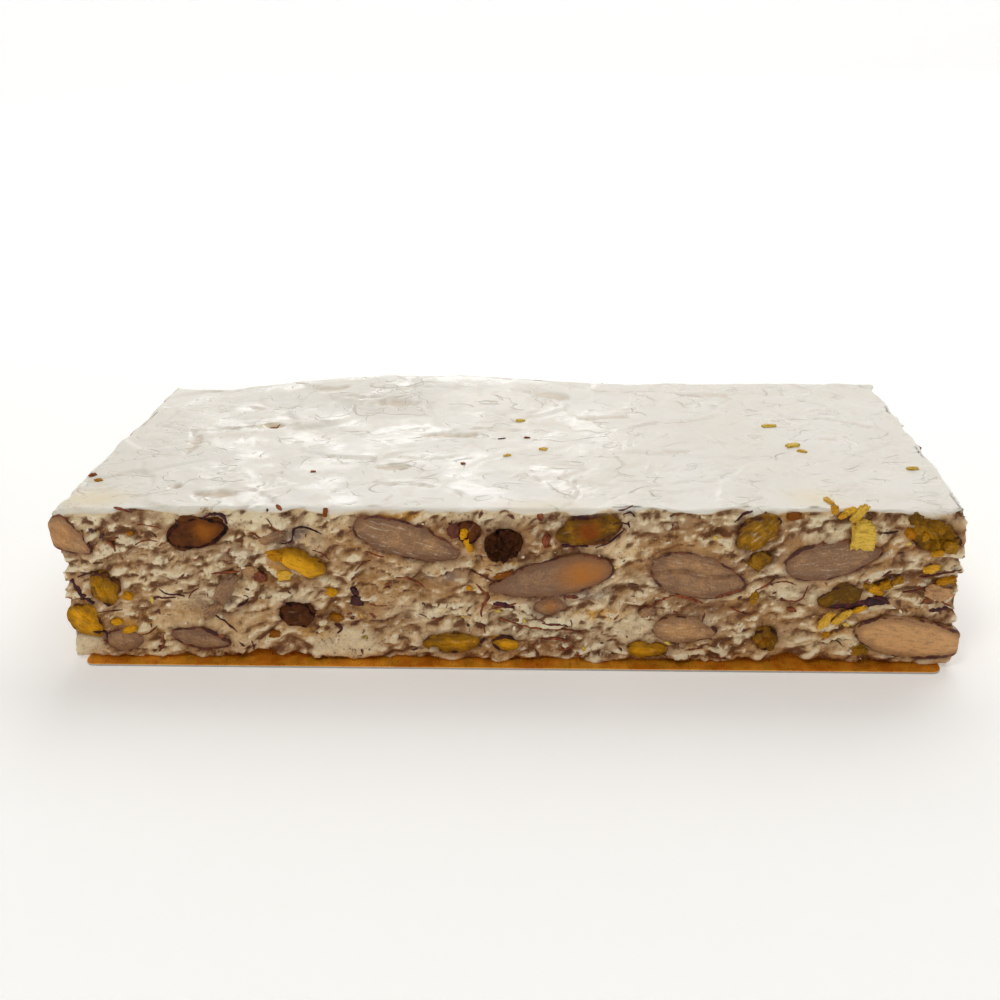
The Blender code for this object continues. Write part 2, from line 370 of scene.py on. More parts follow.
# %% Meshes from arrays
def new_piece(name, points, faces, attributes=None):
    """An object at the origin whose mesh holds its place. Points are in millimetres."""
    mesh = bpy.data.meshes.new(name)
    mesh.from_pydata((np.asarray(points) * MM).tolist(), [], [list(f) for f in faces])
    for key, values in (attributes or {}).items():
        vector = np.ndim(values) == 2
        layer = mesh.attributes.new(key, "FLOAT_VECTOR" if vector else "FLOAT", "POINT")
        flat = np.asarray(values, dtype=np.float32).ravel()
        layer.data.foreach_set("vector" if vector else "value", flat)
    mesh.shade_smooth()
    piece = bpy.data.objects.new(name, mesh)
    bpy.context.collection.objects.link(piece)
    return piece


def finish_piece(piece, material, slot, *nodes):
    """Gives a piece its material and its place on the body, and hides the plain parts that it stands for.
    """
    piece.data.materials.clear()
    piece.data.materials.append(material)
    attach(piece, "root")
    if nodes:
        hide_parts(*nodes)


# %% [markdown]
# ## Where the saw met a nut
#
# In the plain model each nut is a simple solid with a flat face where the saw went. That face's
# outline is all that is needed to draw the nut well: its corners are rounded by cutting them off a
# few times, which is how Chaikin's curve works. The nougat then leaves a nest of exactly that
# outline, and the nut's own mesh is spread over it.

# %% Cut faces of the nuts
def corner_cut(loop, times=3):
    """A closed loop of points made smooth by cutting its corners."""
    for _ in range(times):
        after = np.roll(loop, -1, axis=0)
        loop = np.stack([0.78 * loop + 0.22 * after, 0.22 * loop + 0.78 * after], axis=1).reshape(-1, 2)
    return loop


def evenly(loop, spacing):
    """The same closed loop with its points at equal distances."""
    closed = np.vstack([loop, loop[:1]])
    run = np.concatenate([[0.0], np.cumsum(np.linalg.norm(np.diff(closed, axis=0), axis=1))])
    steps = max(24, int(run[-1] / spacing))
    at = np.linspace(0.0, run[-1], steps, endpoint=False)
    return np.stack([np.interp(at, run, closed[:, 0]), np.interp(at, run, closed[:, 1])], axis=1)


def sawn(face, wall):
    """Whether a plain nut's face is the flat one that the saw made in a wall."""
    normal = Vector(WALLS[wall])
    return face.normal.dot(normal) > 0.999 and face.center.dot(normal) / MM > reach(wall) - 0.1


def cut_face(node, wall):
    """The outline, in (u, v), of the flat face that a nut shows in a wall, or None."""
    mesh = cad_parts[node].data
    found = set()
    for face in mesh.polygons:
        if sawn(face, wall):
            found.update(face.vertices)
    if len(found) < 3:
        return None
    points = np.array([mesh.vertices[n].co for n in found]) / MM
    flat = np.stack([points @ along(wall), points[:, 2]], axis=1)
    arm = flat - flat.mean(axis=0)
    return flat[np.argsort(np.arctan2(arm[:, 1], arm[:, 0]))]


def weathered(loop, number, amount, soften):
    """The loop made even and softer, with small dents, so that no two nuts have the same edge."""
    loop = evenly(corner_cut(loop), 0.5)
    for _ in range(soften):
        loop = 0.5 * loop + 0.25 * (np.roll(loop, 1, axis=0) + np.roll(loop, -1, axis=0))
    arm = loop - loop.mean(axis=0)
    arm /= np.linalg.norm(arm, axis=1)[:, None]
    dents = flat_noise(loop, 3.8, 3, number, 5.0 * number)
    return loop + arm * (amount * dents + 0.02 * soften + 0.05)[:, None]


class Section(NamedTuple):
    """A nut's cut face in a wall."""

    node: str
    wall: str
    outline: np.ndarray


# How deep the dents of an edge are, and how many times it is softened.
WEATHER = {"almond": (0.65, 8), "pistachio": (1.4, 24), "toasted": (1.7, 55)}
SECTIONS = []
for number, node in enumerate(NUTS):
    for wall in WALLS:
        outline = cut_face(node, wall)
        if outline is not None:
            loop = weathered(outline, number, *WEATHER[node.split("_")[0]])
            SECTIONS.append(Section(node, wall, loop))
print(f"{len(SECTIONS)} cut faces, on", {w: sum(s.wall == w for s in SECTIONS) for w in WALLS})


# %% Distance to an outline
def outline_distance(flat, loop):
    """How far each point lies outside a closed loop. Inside it the distance is negative."""
    best = np.full(len(flat), np.inf)
    inside = np.zeros(len(flat), dtype=bool)
    for start, end in zip(loop, np.roll(loop, -1, axis=0)):
        edge = end - start
        part = np.clip(((flat - start) @ edge) / (edge @ edge + 1e-12), 0, 1)
        best = np.minimum(best, np.linalg.norm(flat - start - part[:, None] * edge, axis=1))
        spans = (start[1] > flat[:, 1]) != (end[1] > flat[:, 1])
        rise = edge[1] if abs(edge[1]) > 1e-9 else 1e-9
        inside ^= spans & (flat[:, 0] < start[0] + (flat[:, 1] - start[1]) * edge[0] / rise)
    return np.where(inside, -best, best)


# %% [markdown]
# ## The block of nougat
#
# The block is one closed mesh: a box whose faces are fine grids that share their edges, with the
# edges rounded over. Its cells are finest on the long walls, where the eye looks, and every
# vertex remembers which way is out. All the shaping that follows only moves these vertices.

# %% A box of fine grids
def grid_box(counts):
    """Lattice points on a box's surface, and its quads for the walls and the top."""
    nx, ny, nz = counts
    ids = np.full((nx + 1, ny + 1, nz + 1), -1)
    shell = np.zeros_like(ids, dtype=bool)
    shell[0] = shell[-1] = True
    shell[:, 0] = shell[:, -1] = True
    shell[:, :, -1] = True
    ids[shell] = np.arange(shell.sum())
    quads = []
    for sheet, flip in (
        (ids[:, 0], False),
        (ids[:, -1], True),
        (ids[0], True),
        (ids[-1], False),
        (ids[:, :, -1], False),
    ):
        ring = [sheet[:-1, :-1], sheet[1:, :-1], sheet[1:, 1:], sheet[:-1, 1:]]
        if flip:
            ring.reverse()
        quads.append(np.stack(ring, axis=-1).reshape(-1, 4))
    foot = np.concatenate([ids[:-1, 0, 0], ids[-1, :-1, 0], ids[:0:-1, -1, 0], ids[0, :0:-1, 0]])
    return np.argwhere(shell), np.concatenate(quads), foot


SPANS = [2 * HALF[0], 2 * HALF[1], SKIN_TOP - BASE]
COUNTS = tuple(int(round(span / cell)) for span, cell in zip(SPANS, CELL))
lattice, quads, foot = grid_box(COUNTS)
plain = lattice / np.array(COUNTS) * SPANS + [-HALF[0], -HALF[1], BASE]
print(f"{COUNTS} cells, {len(plain)} points, {2 * len(quads)} triangles")

# %% Rounded edges
inner_low = np.array([-HALF[0] + LIP_ROUND, -HALF[1] + LIP_ROUND, -np.inf])
inner_high = np.array([HALF[0] - LIP_ROUND, HALF[1] - LIP_ROUND, SKIN_TOP - LIP_ROUND])
core = np.clip(plain, inner_low, inner_high)
arm = plain - core
out = arm / np.linalg.norm(arm, axis=1)[:, None]
block = core + out * LIP_ROUND
sideways = out * [1, 1, 0]
WALL_LAYERS = {"front": (1, 0), "back": (1, COUNTS[1]), "left": (0, 0), "right": (0, COUNTS[0])}
is_wall = {wall: lattice[:, axis] == layer for wall, (axis, layer) in WALL_LAYERS.items()}

# %% [markdown]
# The skin rolls over the top edge and ends in a soft, wavy lip. Below the lip the wall is torn.
# The mask `torn` says which is which, and the later steps read it: folds and pits only come where
# it is 1. Larger hollows and lumps are listed one by one, because they are what makes one bar
# differ from the next.


# %% Lip of the skin, hollows and lumps
class Patch(NamedTuple):
    """A soft oval place on a wall. Depth is inwards, so a lump has a negative one."""

    wall: str
    u: float
    v: float
    half_u: float
    half_v: float
    depth: float
    tilt: float = 0.0
    calm: float = 0.0


HOLLOWS = placed(
    Patch,
    front=[
        (-69.5, 12, 8.5, 4.2, 1.5, 24, 0.8), (-40.5, 30.3, 7, 2.6, 1.3, -8, 0.9),
        (-63, 26.6, 6, 2.4, 0.6), (-34.5, 4.4, 9.5, 4.6, -1.3, 4, 0.9),
        (-91.5, 3.8, 4.6, 3.4, -1.2, 0, 0.9), (-62, 3.2, 8, 2.2, -0.5, 2, 0.6),
        (-77, 25, 8, 4, -0.5, 20, 0.4), (-70, 20, 7, 3.6, -0.8, 18, 0.4),
        (-56, 9.5, 8, 3, -0.5, 12, 0.5), (-27, 12.5, 12, 3, -0.6, 14, 0.5),
        (-18, 18, 12, 5, 0.7, 10, 0.4), (-7.5, 29.8, 3.2, 3.8, 1.4), (9, 29.5, 5.5, 3.2, 0.6),
        (29.6, 25.8, 2.2, 1.2, 3.4), (24, 17, 8, 5, 0.5), (60, 17, 8, 3.5, -0.6, 0, 0.3),
        (54, 25.5, 3.4, 2.2, 0.9), (77.5, 13.6, 6.5, 1.7, 1.7, 14, 0.6), (66, 32.5, 8, 2.6, 0.5),
    ],
    left=[
        (38, 26.5, 16, 3.6, 1.5), (-20, 19, 14, 4.5, 1.2), (6, 6, 12, 4, 1.3),
        (36, 5, 9, 4, -0.8, 0, 0.7), (-30, 6, 8, 4, -1, 0, 0.8),
    ],
    right=[
        (-36, 12, 18, 5, 2), (-34, 27.5, 12, 3.5, 0.8), (16, 31, 14, 3, 1.2),
        (2, 6, 9, 4, -1, 0, 0.8),
    ],
    back=[
        (-20, 20, 12, 4, 1.3), (54, 18, 10, 4, 1.1), (8, 4.5, 9, 4, -1.1, 0, 0.9),
        (-80, 15, 7, 4, 1.2, 20, 0.8), (78, 33, 10, 3, -0.6, 0, 0.6),
        (33, 20, 9, 3.4, -0.6, -14, 0.5),
    ],
)


def flat_of(wall, points):
    """The (u, v) of points on a wall."""
    return np.stack([points @ along(wall), points[:, 2]], axis=1)


lip_wave = cloudy(block * [1 / 9, 1 / 9, 0], 3, seed=5)
lip_low = SKIN_TOP - 0.75 - 1.0 * lip_wave
torn = smooth(lip_low + 0.5, lip_low - 0.5, block[:, 2]) * (np.linalg.norm(sideways, axis=1) > 0.2)
inset = torn * (0.60 + 0.95 * cloudy(block * [1 / 15, 1 / 15, 1 / 9], 3, seed=9))
scallop = cloudy(block * [1 / 11, 1 / 11, 0], 2, seed=6)
inset += 0.9 * (0.5 + scallop) * smooth(SKIN_TOP - 3.5, SKIN_TOP - 0.4, block[:, 2])
calm = np.zeros(len(block))
for patch in HOLLOWS:
    rows = np.flatnonzero(is_wall[patch.wall])
    away = oval_distance(flat_of(patch.wall, block[rows]), *patch[1:5], patch.tilt)
    inset[rows] += patch.depth * mound(away) * torn[rows]
    calm[rows] = np.maximum(calm[rows], patch.calm * smooth(1.0, 0.6, away))
print(f"walls torn by up to {inset.max():.1f} mm, lip {lip_low.min():.1f} to {lip_low.max():.1f} high")


# %% [markdown]
# Nougat isn't one colour either. Where syrup ran out of it, it is honey yellow; in patches, most
# beside a nut, it is painted grey as shade; and a lump that the saw pressed smooth is paler than
# the rest. Each such place is a soft oval, and all three are stored on the mesh for the material.

# %% Tints
class Tint(NamedTuple):
    """A soft oval place with a tint of its own, from 0 to 1."""

    side: str
    u: float
    v: float
    half_u: float
    half_v: float
    amount: float


TINTS = {
    "honey": placed(
        Tint,
        front=[
            (-21.5, 35, 9, 2.4, 1), (-47, 22.5, 5, 3, 0.6), (0.5, 24.5, 6, 2.6, 0.8),
            (58, 35, 8, 2.6, 0.7), (50, 15, 4, 4, 0.6), (69, 9, 6, 4, 0.7), (-41, 7, 7, 3, 0.5),
            (-80, 9, 6, 4, 0.6), (20, 12, 10, 2.5, 0.6),
        ],
        top=[
            (-88, -36, 13, 8, 1), (8, -40, 16, 5, 0.5), (64, -36, 9, 8, 0.7),
            (-60, 9.4, 5, 3, 0.9),
        ],
        back=[(-30, 33, 12, 4, 0.8), (48, 12, 8, 5, 0.6)],
        left=[(10, 30, 9, 4, 0.7)],
        right=[(-8, 10, 9, 4, 0.7)],
    ),
    # Painted shade: grey patches beside the nuts, and some on the other walls.
    "grey": placed(
        Tint,
        front=[
            (-42.5, 29.5, 8, 5, 1), (-57, 26, 8, 4, 0.8), (-80, 28.5, 7, 4, 0.7),
            (-14, 21, 11, 3.6, 0.9), (17, 17, 12, 4, 0.9), (10, 32, 5, 4, 0.8),
            (53, 26, 9, 6, 0.9), (60, 22, 9, 3, 0.6), (42, 14, 9, 5, 0.7), (-62, 14, 9, 6, 0.7),
            (84, 21, 8, 4, 0.7),
        ],
        back=[(-55, 22, 12, 6, 0.9), (20, 28, 14, 5, 0.8)],
        left=[(-22, 22, 10, 5, 0.9)],
        right=[(20, 20, 10, 5, 0.9)],
    ),
    "pale": placed(
        Tint,
        front=[
            (-34.5, 4.4, 12, 6, 1), (-91.5, 3.8, 6, 4.6, 1), (-77, 24, 10, 5, 0.25),
            (-70, 20, 8, 4, 0.3), (-46, 16, 9, 3, 0.7), (-18, 12, 12, 4, 0.6), (30, 19, 5, 4, 0.7),
            (8, 10, 18, 7, 0.9), (26, 9, 14, 6, 0.8), (76, 31, 8, 3, 0.6), (61, 17, 10, 4, 0.9),
            (66, 32, 9, 3.6, 0.8), (30, 33, 9, 4, 1), (0, 34, 6, 4, 0.8), (-52, 34, 14, 3.6, 0.8),
            (-84, 34, 9, 3, 0.8), (84, 25, 5, 3, 0.5),
        ],
        back=[(8, 5, 12, 6, 1), (-78, 30, 12, 6, 0.8)],
        left=[(36, 5, 11, 6, 0.9)],
        right=[(2, 7, 12, 6, 0.9)],
    ),
}
tints = {kind: np.zeros(len(block)) for kind in TINTS}
for kind, places in TINTS.items():
    for tint in places:
        flat = block[:, :2] if tint.side == "top" else flat_of(tint.side, block)
        here = out[:, 2] > 0.4 if tint.side == "top" else is_wall[tint.side]
        strength = tint.amount * mound(oval_distance(flat, *tint[1:5])) * here
        tints[kind] = np.maximum(tints[kind], strength)
print("tints:", {kind: len(places) for kind, places in TINTS.items()})

# %% [markdown]
# Round each nut the nougat has a nest. Points just outside the outline are pulled onto it, so that
# the edge of the nest is a clean line and not a staircase of grid cells. Points inside it are
# pushed in behind the nut. A little noise in the distance lets the nougat lap over the nut in some
# places and shrink from it in others.

# %% Nests for the nuts
NEST_DEEP = 2.6
SNAP = 0.55
NUDGE = 0.05
NUDGES = np.eye(2) * NUDGE

nest = np.zeros(len(block))
near = np.full(len(block), 9.0)
for section in SECTIONS:
    rows = np.flatnonzero(is_wall[section.wall])
    flat = flat_of(section.wall, block[rows])
    middle = section.outline.mean(axis=0)
    size = np.ptp(section.outline, axis=0).max()
    close = np.linalg.norm(flat - middle, axis=1) < size / 2 + 4
    rows, flat = rows[close], flat[close]
    ragged = 0.28 * cloudy(block[rows] / 2.2, 2, seed=21)
    gap = outline_distance(flat, section.outline) + ragged
    beside_it = [outline_distance(flat + nudge, section.outline) for nudge in NUDGES]
    slope = (np.stack(beside_it, axis=1) - (gap - ragged)[:, None]) / NUDGE
    pull = -gap * smooth(SNAP * 1.5, SNAP * 0.7, np.abs(gap))
    block[rows] += pull[:, None] * (slope[:, :1] * along(section.wall) + slope[:, 1:] * UP)
    gap = gap + pull
    nest[rows] = np.maximum(nest[rows], smooth(-0.02, -0.35, gap))
    near[rows] = np.minimum(near[rows], np.maximum(gap, 0))
rim_level = 0.12 + 0.25 * cloudy(block / 5, 2, seed=33)
beside = smooth(4.0, 0.3, near)
inset = inset * (1 - beside) + rim_level * torn * beside
inset = inset * (1 - nest) + NEST_DEEP * nest
print(f"{int((nest > 0.5).sum())} points lie behind nuts")

# %% [markdown]
# The bar's lower edge lifts off the card in a few arches, and the top swells and sinks gently, as
# soft nougat does. Both are the same sort of mound as above.


# %% Arches and swells
class Rise(NamedTuple):
    """A place where the lower edge stands clear of the card, or the top swells."""

    x: float
    y: float
    half_x: float
    half_y: float
    high: float


ARCHES = [Rise(*row) for row in (
    (-53.2, -43, 4.6, 9, 1.8), (-45.5, -43, 4, 7, 0.9), (-16, -43, 3, 5, 0.5),
    (60.1, -43, 5.6, 9, 1.7), (51, -43, 5, 6, 0.7), (15, 43, 8, 9, 1.5), (-72, 43, 7, 9, 1.3),
)]
SWELLS = [Rise(*row) for row in (
    (-24, 40, 60, 26, 3), (-84, 40, 16, 24, -0.9), (48, 8, 34, 26, 0.5), (-50, -14, 30, 20, 0.4),
    (92, 34, 14, 18, -0.8),
)]


def raised(places, points):
    """What a list of arches or swells adds at each point."""
    return sum(place.high * mound(oval_distance(points, *place[:4])) for place in places)


def foot_lift(points):
    """How far the lower edge stands off the card."""
    ragged = 0.22 * (1 + cloudy(points * [0.5, 0.5, 0], 2, seed=41))
    return raised(ARCHES, points) + ragged


# %% [markdown]
# ## The skin on top
#
# The skin was pressed flat by the sheet that covered the slab. It looks like a few smooth plates
# that overlap, with thin creases between them, and here and there a window where the sheet pulled
# the skin away and the tan nougat shows. Plates are a Voronoi pattern with a random height for
# each cell. Creases are short curves, listed one by one: each one is a narrow valley with a soft
# fold on one side.

# %% Plates
PLATE = 24.0
PLATE_COUNT = 58
plate_seeds = np.random.default_rng(11).uniform([-110, -60], [110, 60], size=(PLATE_COUNT, 2))
plate_high = np.random.default_rng(12).uniform(-0.26, 0.26, size=PLATE_COUNT)
plate_tilt = np.random.default_rng(13).uniform(-0.012, 0.012, size=(PLATE_COUNT, 2))


def plates(flat):
    """The height of the overlapping plates, and 1 along the seams between them."""
    bent = flat + 5.0 * np.stack([flat_noise(flat, PLATE, 3, s, s) for s in (50, 60)], axis=1)
    away = np.linalg.norm(bent[:, None] - plate_seeds[None], axis=2)
    order = np.argsort(away, axis=1)[:, :2]
    first, second = (np.take_along_axis(away, order[:, n : n + 1], axis=1)[:, 0] for n in (0, 1))
    height = [
        plate_high[plate] + np.sum(plate_tilt[plate] * (bent - plate_seeds[plate]), axis=1)
        for plate in order.T
    ]
    seam = smooth(0.9, 0.0, second - first)
    share = 0.5 * seam
    return height[0] * (1 - share) + height[1] * share, seam


# %% Creases and windows
CREASES = [
    [(-74, -14), (-76, -4), (-78, 6), (-70, 7), (-62, 8), (-59, 6)],
    [(-59, 6), (-52, 10), (-44, 12)],
    [(-29, -5), (-22, -4), (-17, -1.5), (-14, 5.5), (-4, 6), (7, 5.3)],
    [(-36, -14), (-28, -12), (-18, -13), (-8, -10)],
    [(-38, -42), (-37, -33), (-30, -28), (-20, -28), (-10, -33), (-5, -42)],
    [(-60, -30), (-52, -34), (-45, -41)],
    [(-4, -30), (4, -24), (10, -26), (20, -18)],
    [(12, -42), (16, -34), (14, -26)],
    [(24, 2), (32, 8), (44, 10), (52, 16)],
    [(18, 22), (30, 20), (36, 26), (30, 32)],
    [(62, -38), (58, -30), (60, -20)],
    [(70, 14), (80, 10), (88, 4)],
    [(-86, 20), (-78, 24), (-64, 22), (-56, 28)],
    [(-48, 30), (-36, 26), (-26, 32), (-12, 30)],
    [(0, 16), (8, 20), (6, 30)],
    [(34, -30), (42, -26), (52, -28)],
]
WINDOWS = [Rise(*row) for row in (
    (-61.7, -34.4, 4.2, 2.2, 0.5), (-24.5, -18, 5, 1.8, 0.4), (-16, 2.6, 6.5, 1.6, 0.45),
    (-31, 24, 5, 2.2, 0.35), (22, 14, 8, 1.5, 0.4), (8, 30, 7, 2.6, 0.35), (50, 31, 7, 2.4, 0.3),
    (-75.5, -5, 1.4, 7, 0.35), (38, -10, 4, 1.1, 0.3), (74, -2, 2.2, 1.6, 0.25),
    (-50, 33, 6, 2, 0.3), (-71.2, -29.8, 1.4, 1, 0.8), (-59.5, 9.4, 2.2, 1.4, 0.9),
)]


CREASE_REACH = 30.0


def curve_through(points, step=1.0):
    """A Catmull-Rom curve through a few points, as many close ones."""
    ends = np.array([points[0], *points, points[-1]], dtype=float)
    found = []
    for a, b, c, d in zip(ends, ends[1:], ends[2:], ends[3:]):
        square, cube = 2 * a - 5 * b + 4 * c - d, 3 * b - a - 3 * c + d
        for t in np.linspace(0, 1, max(2, int(np.linalg.norm(c - b) / step)), endpoint=False):
            found.append(0.5 * (2 * b + (c - a) * t + square * t**2 + cube * t**3))
    return np.array([*found, ends[-1]])


def line_distance(flat, line):
    """How far each point is from an open line, and on which side of it: positive to the left."""
    best = np.full(len(flat), np.inf)
    side = np.zeros(len(flat))
    fade = np.zeros(len(flat))
    for n, (start, end) in enumerate(zip(line, line[1:])):
        edge = end - start
        part = np.clip(((flat - start) @ edge) / (edge @ edge + 1e-12), 0, 1)
        away = flat - start - part[:, None] * edge
        distance = np.linalg.norm(away, axis=1)
        closer = distance < best
        best = np.where(closer, distance, best)
        side = np.where(closer, np.sign(edge[0] * away[:, 1] - edge[1] * away[:, 0]), side)
        fade = np.where(closer, np.sin(np.pi * min(1, (n + 0.5) / len(line))), fade)
    return best * side, fade


def skin_relief(flat):
    """The height that plates, creases, windows and fine wrinkles give the skin, and where it is tan."""
    height, seam = plates(flat)
    crease_line = np.zeros(len(flat))
    height -= 0.24 * seam * smooth(-0.2, 0.4, flat_noise(flat, 15, 2, 70))
    for crease in CREASES:
        line = curve_through(crease)
        near_it = np.flatnonzero(np.linalg.norm(flat - line.mean(axis=0), axis=1) < CREASE_REACH)
        here = flat[near_it]
        wavy = here + 0.8 * np.stack([flat_noise(here, 6, 2, s, s) for s in (81, 82)], axis=1)
        away, fade = line_distance(wavy, line)
        patchy = smooth(-0.25, 0.30, flat_noise(here, 5, 2, 83))
        valley = patchy * np.exp(-((away / 0.36) ** 2))
        step = np.exp(-np.clip(away, 0, None) / 2.2) * (away > 0)
        height[near_it] += fade * (0.34 * step * patchy - 0.55 * valley)
        crease_line[near_it] = np.maximum(crease_line[near_it], fade * valley)
    tan = np.zeros(len(flat))
    for n, window in enumerate(WINDOWS):
        away = oval_distance(flat, *window[:4]) + 0.9 * flat_noise(flat, 3.4, 3, 90, n)
        dip = smooth(1.10, 0.6, away)
        height -= window.high * dip
        tan = np.maximum(tan, dip * min(1.0, window.high * 1.6))
    zero = np.zeros(len(flat))
    wrinkle_place = mound(oval_distance(flat, 14, -22, 42, 24))
    wrinkle = 1 - np.abs(perlin(np.c_[flat / [4.2, 2.4], zero], seed=95)) * 2
    height += 0.22 * wrinkle_place * np.clip(wrinkle, 0, 1) ** 4
    height += 0.20 * flat_noise(flat, 9, 3, 97)
    slanted = np.c_[flat @ [0.16, 0.10], flat @ [-0.22, 0.40], zero]
    small = 1 - np.abs(perlin(slanted, seed=98)) * 2.2
    tear = np.clip(small, 0, 1) ** 6 * smooth(0.05, 0.5, flat_noise(flat, 12, 2, 99))
    height -= 0.22 * tear
    return height, tan, np.maximum(crease_line, 0.6 * tear)


on_top = np.flatnonzero(out[:, 2] > 0.25)
relief, tan, crease_shade = np.zeros((3, len(block)))
relief[on_top], tan[on_top], crease_shade[on_top] = skin_relief(block[on_top, :2])
relief *= smooth(0.3, 0.9, out[:, 2])
print(f"skin relief {relief.min():.2f} to {relief.max():.2f} mm")

# %% Putting the block together
tall = (block[:, 2] - BASE) / (SKIN_TOP - BASE)
lift = foot_lift(block) * (1 - tall) ** 3
block[:, 2] = block[:, 2] + lift + raised(SWELLS, block) * tall + relief
out_flat = sideways / np.maximum(np.linalg.norm(sideways, axis=1), 1e-9)[:, None]
block -= out_flat * inset[:, None]

rings = []
for inward in (3.0, 9.0):
    shrink = (HALF - inward) / HALF
    ring = block[foot] * [*shrink, 0]
    ring[:, 2] = BASE + raised(ARCHES, ring)
    rings.append(ring)
points = np.vstack([block, *rings, [[0, 0, BASE]]])
size = len(foot)
first = len(block)
loops = [foot, first + np.arange(size), first + size + np.arange(size)]
faces = quads.tolist()
for outer, inner in zip(loops, loops[1:]):
    faces += np.stack([np.roll(outer, -1), outer, inner, np.roll(inner, -1)], axis=1).tolist()
hub = len(points) - 1
faces += [(b, a, hub) for a, b in zip(loops[2], np.roll(loops[2], -1))]


def padded_out(values):
    """The block's values with zeros for the hidden points underneath."""
    return np.concatenate([values, np.zeros((len(points) - len(values), *values.shape[1:]))])


nougat = new_piece(
    "nougat_block",
    points,
    faces,
    {
        "torn": padded_out(torn * (1 - nest)),
        "calm": padded_out(np.maximum(calm, 0.45 * beside)),
        "tan": padded_out(tan),
        # Creases and tears of the skin, for painted shade in the material.
        "crease_shade": padded_out(crease_shade),
        "edge": padded_out(smooth(0.95, 0.2, out[:, 2])),
        # Painted shade: the material darkens nougat within 1.3 mm of a nut.
        "contact_shade": padded_out(smooth(1.3, 0.0, near) * torn),
        "out": padded_out(out_flat),
        **{kind: padded_out(values) for kind, values in tints.items()},
    },
)
print(f"block of {len(points)} points and {sum(len(f) - 2 for f in faces)} triangles")

# %% [markdown]
# ## The torn relief, with Geometry Nodes
#
# A saw drags soft nougat with it, so the walls are covered with small folds that hang over like
# roof tiles, with lumps, pits and crumbs between them. All of that follows a rule, so a node tree
# makes it: a rising ramp that starts again every few millimetres of height gives the folds, with
# noise to bend and break them, and Voronoi cells give lumps and pits. The tree pushes each point
# along the stored way out, and keeps how deep the point now lies beside its neighbours, because
# the material paints shade into the hollows and highlight onto the ridges from it.


# %% Helpers for node trees on meshes
def node_group(name, numbers):
    """A Geometry Nodes tree with a geometry input and named numbers, as Pins."""
    tree = bpy.data.node_groups.new(name, "GeometryNodeTree")
    tree.interface.new_socket("Geometry", in_out="INPUT", socket_type="NodeSocketGeometry")
    tree.interface.new_socket("Geometry", in_out="OUTPUT", socket_type="NodeSocketGeometry")
    for key, value in numbers.items():
        kind = "NodeSocketInt" if isinstance(value, int) else "NodeSocketFloat"
        tree.interface.new_socket(key, in_out="INPUT", socket_type=kind).default_value = value
    source = tree.nodes.new("NodeGroupInput")
    return tree, {s.name: Pin(tree, s) for s in source.outputs if s.name}


def finish_group(geometry, material):
    """Ends a tree: instances become real mesh and get their material."""
    tree = geometry.tree
    real = geometry.add("GeometryNodeRealizeInstances", None, {0: geometry})
    painted = real.add("GeometryNodeSetMaterial", None, {"Geometry": real, "Material": material})
    tree.links.new(painted.socket, tree.nodes.new("NodeGroupOutput").inputs[0])


def run_group(piece, tree, name, **numbers):
    """Runs a tree on a piece and returns the result as a plain mesh in a new object."""
    modifier = piece.modifiers.new("nodes", "NODES")
    modifier.node_group = tree
    for item in tree.interface.items_tree:
        key = item.name.replace(" ", "_").lower()
        if item.in_out == "INPUT" and key in numbers:
            modifier[item.identifier] = numbers[key]
    graph = bpy.context.evaluated_depsgraph_get()
    result = piece.evaluated_get(graph)
    mesh = bpy.data.meshes.new_from_object(result, preserve_all_data_layers=True, depsgraph=graph)
    mesh.name = name
    piece.modifiers.remove(modifier)
    made = bpy.data.objects.new(name, mesh)
    bpy.context.collection.objects.link(made)
    mesh.shade_smooth()
    return made


def stored(pin, name, kind="FLOAT"):
    """A named attribute of the mesh."""
    return pin.add("GeometryNodeInputNamedAttribute", {"data_type": kind}, {"Name": name})


def keep(geometry, name, value):
    """The geometry with one more named number on each point."""
    settings = {"data_type": "FLOAT", "domain": "POINT"}
    sockets = {"Geometry": geometry, "Name": name, "Value": value}
    return geometry.add("GeometryNodeStoreNamedAttribute", settings, sockets)


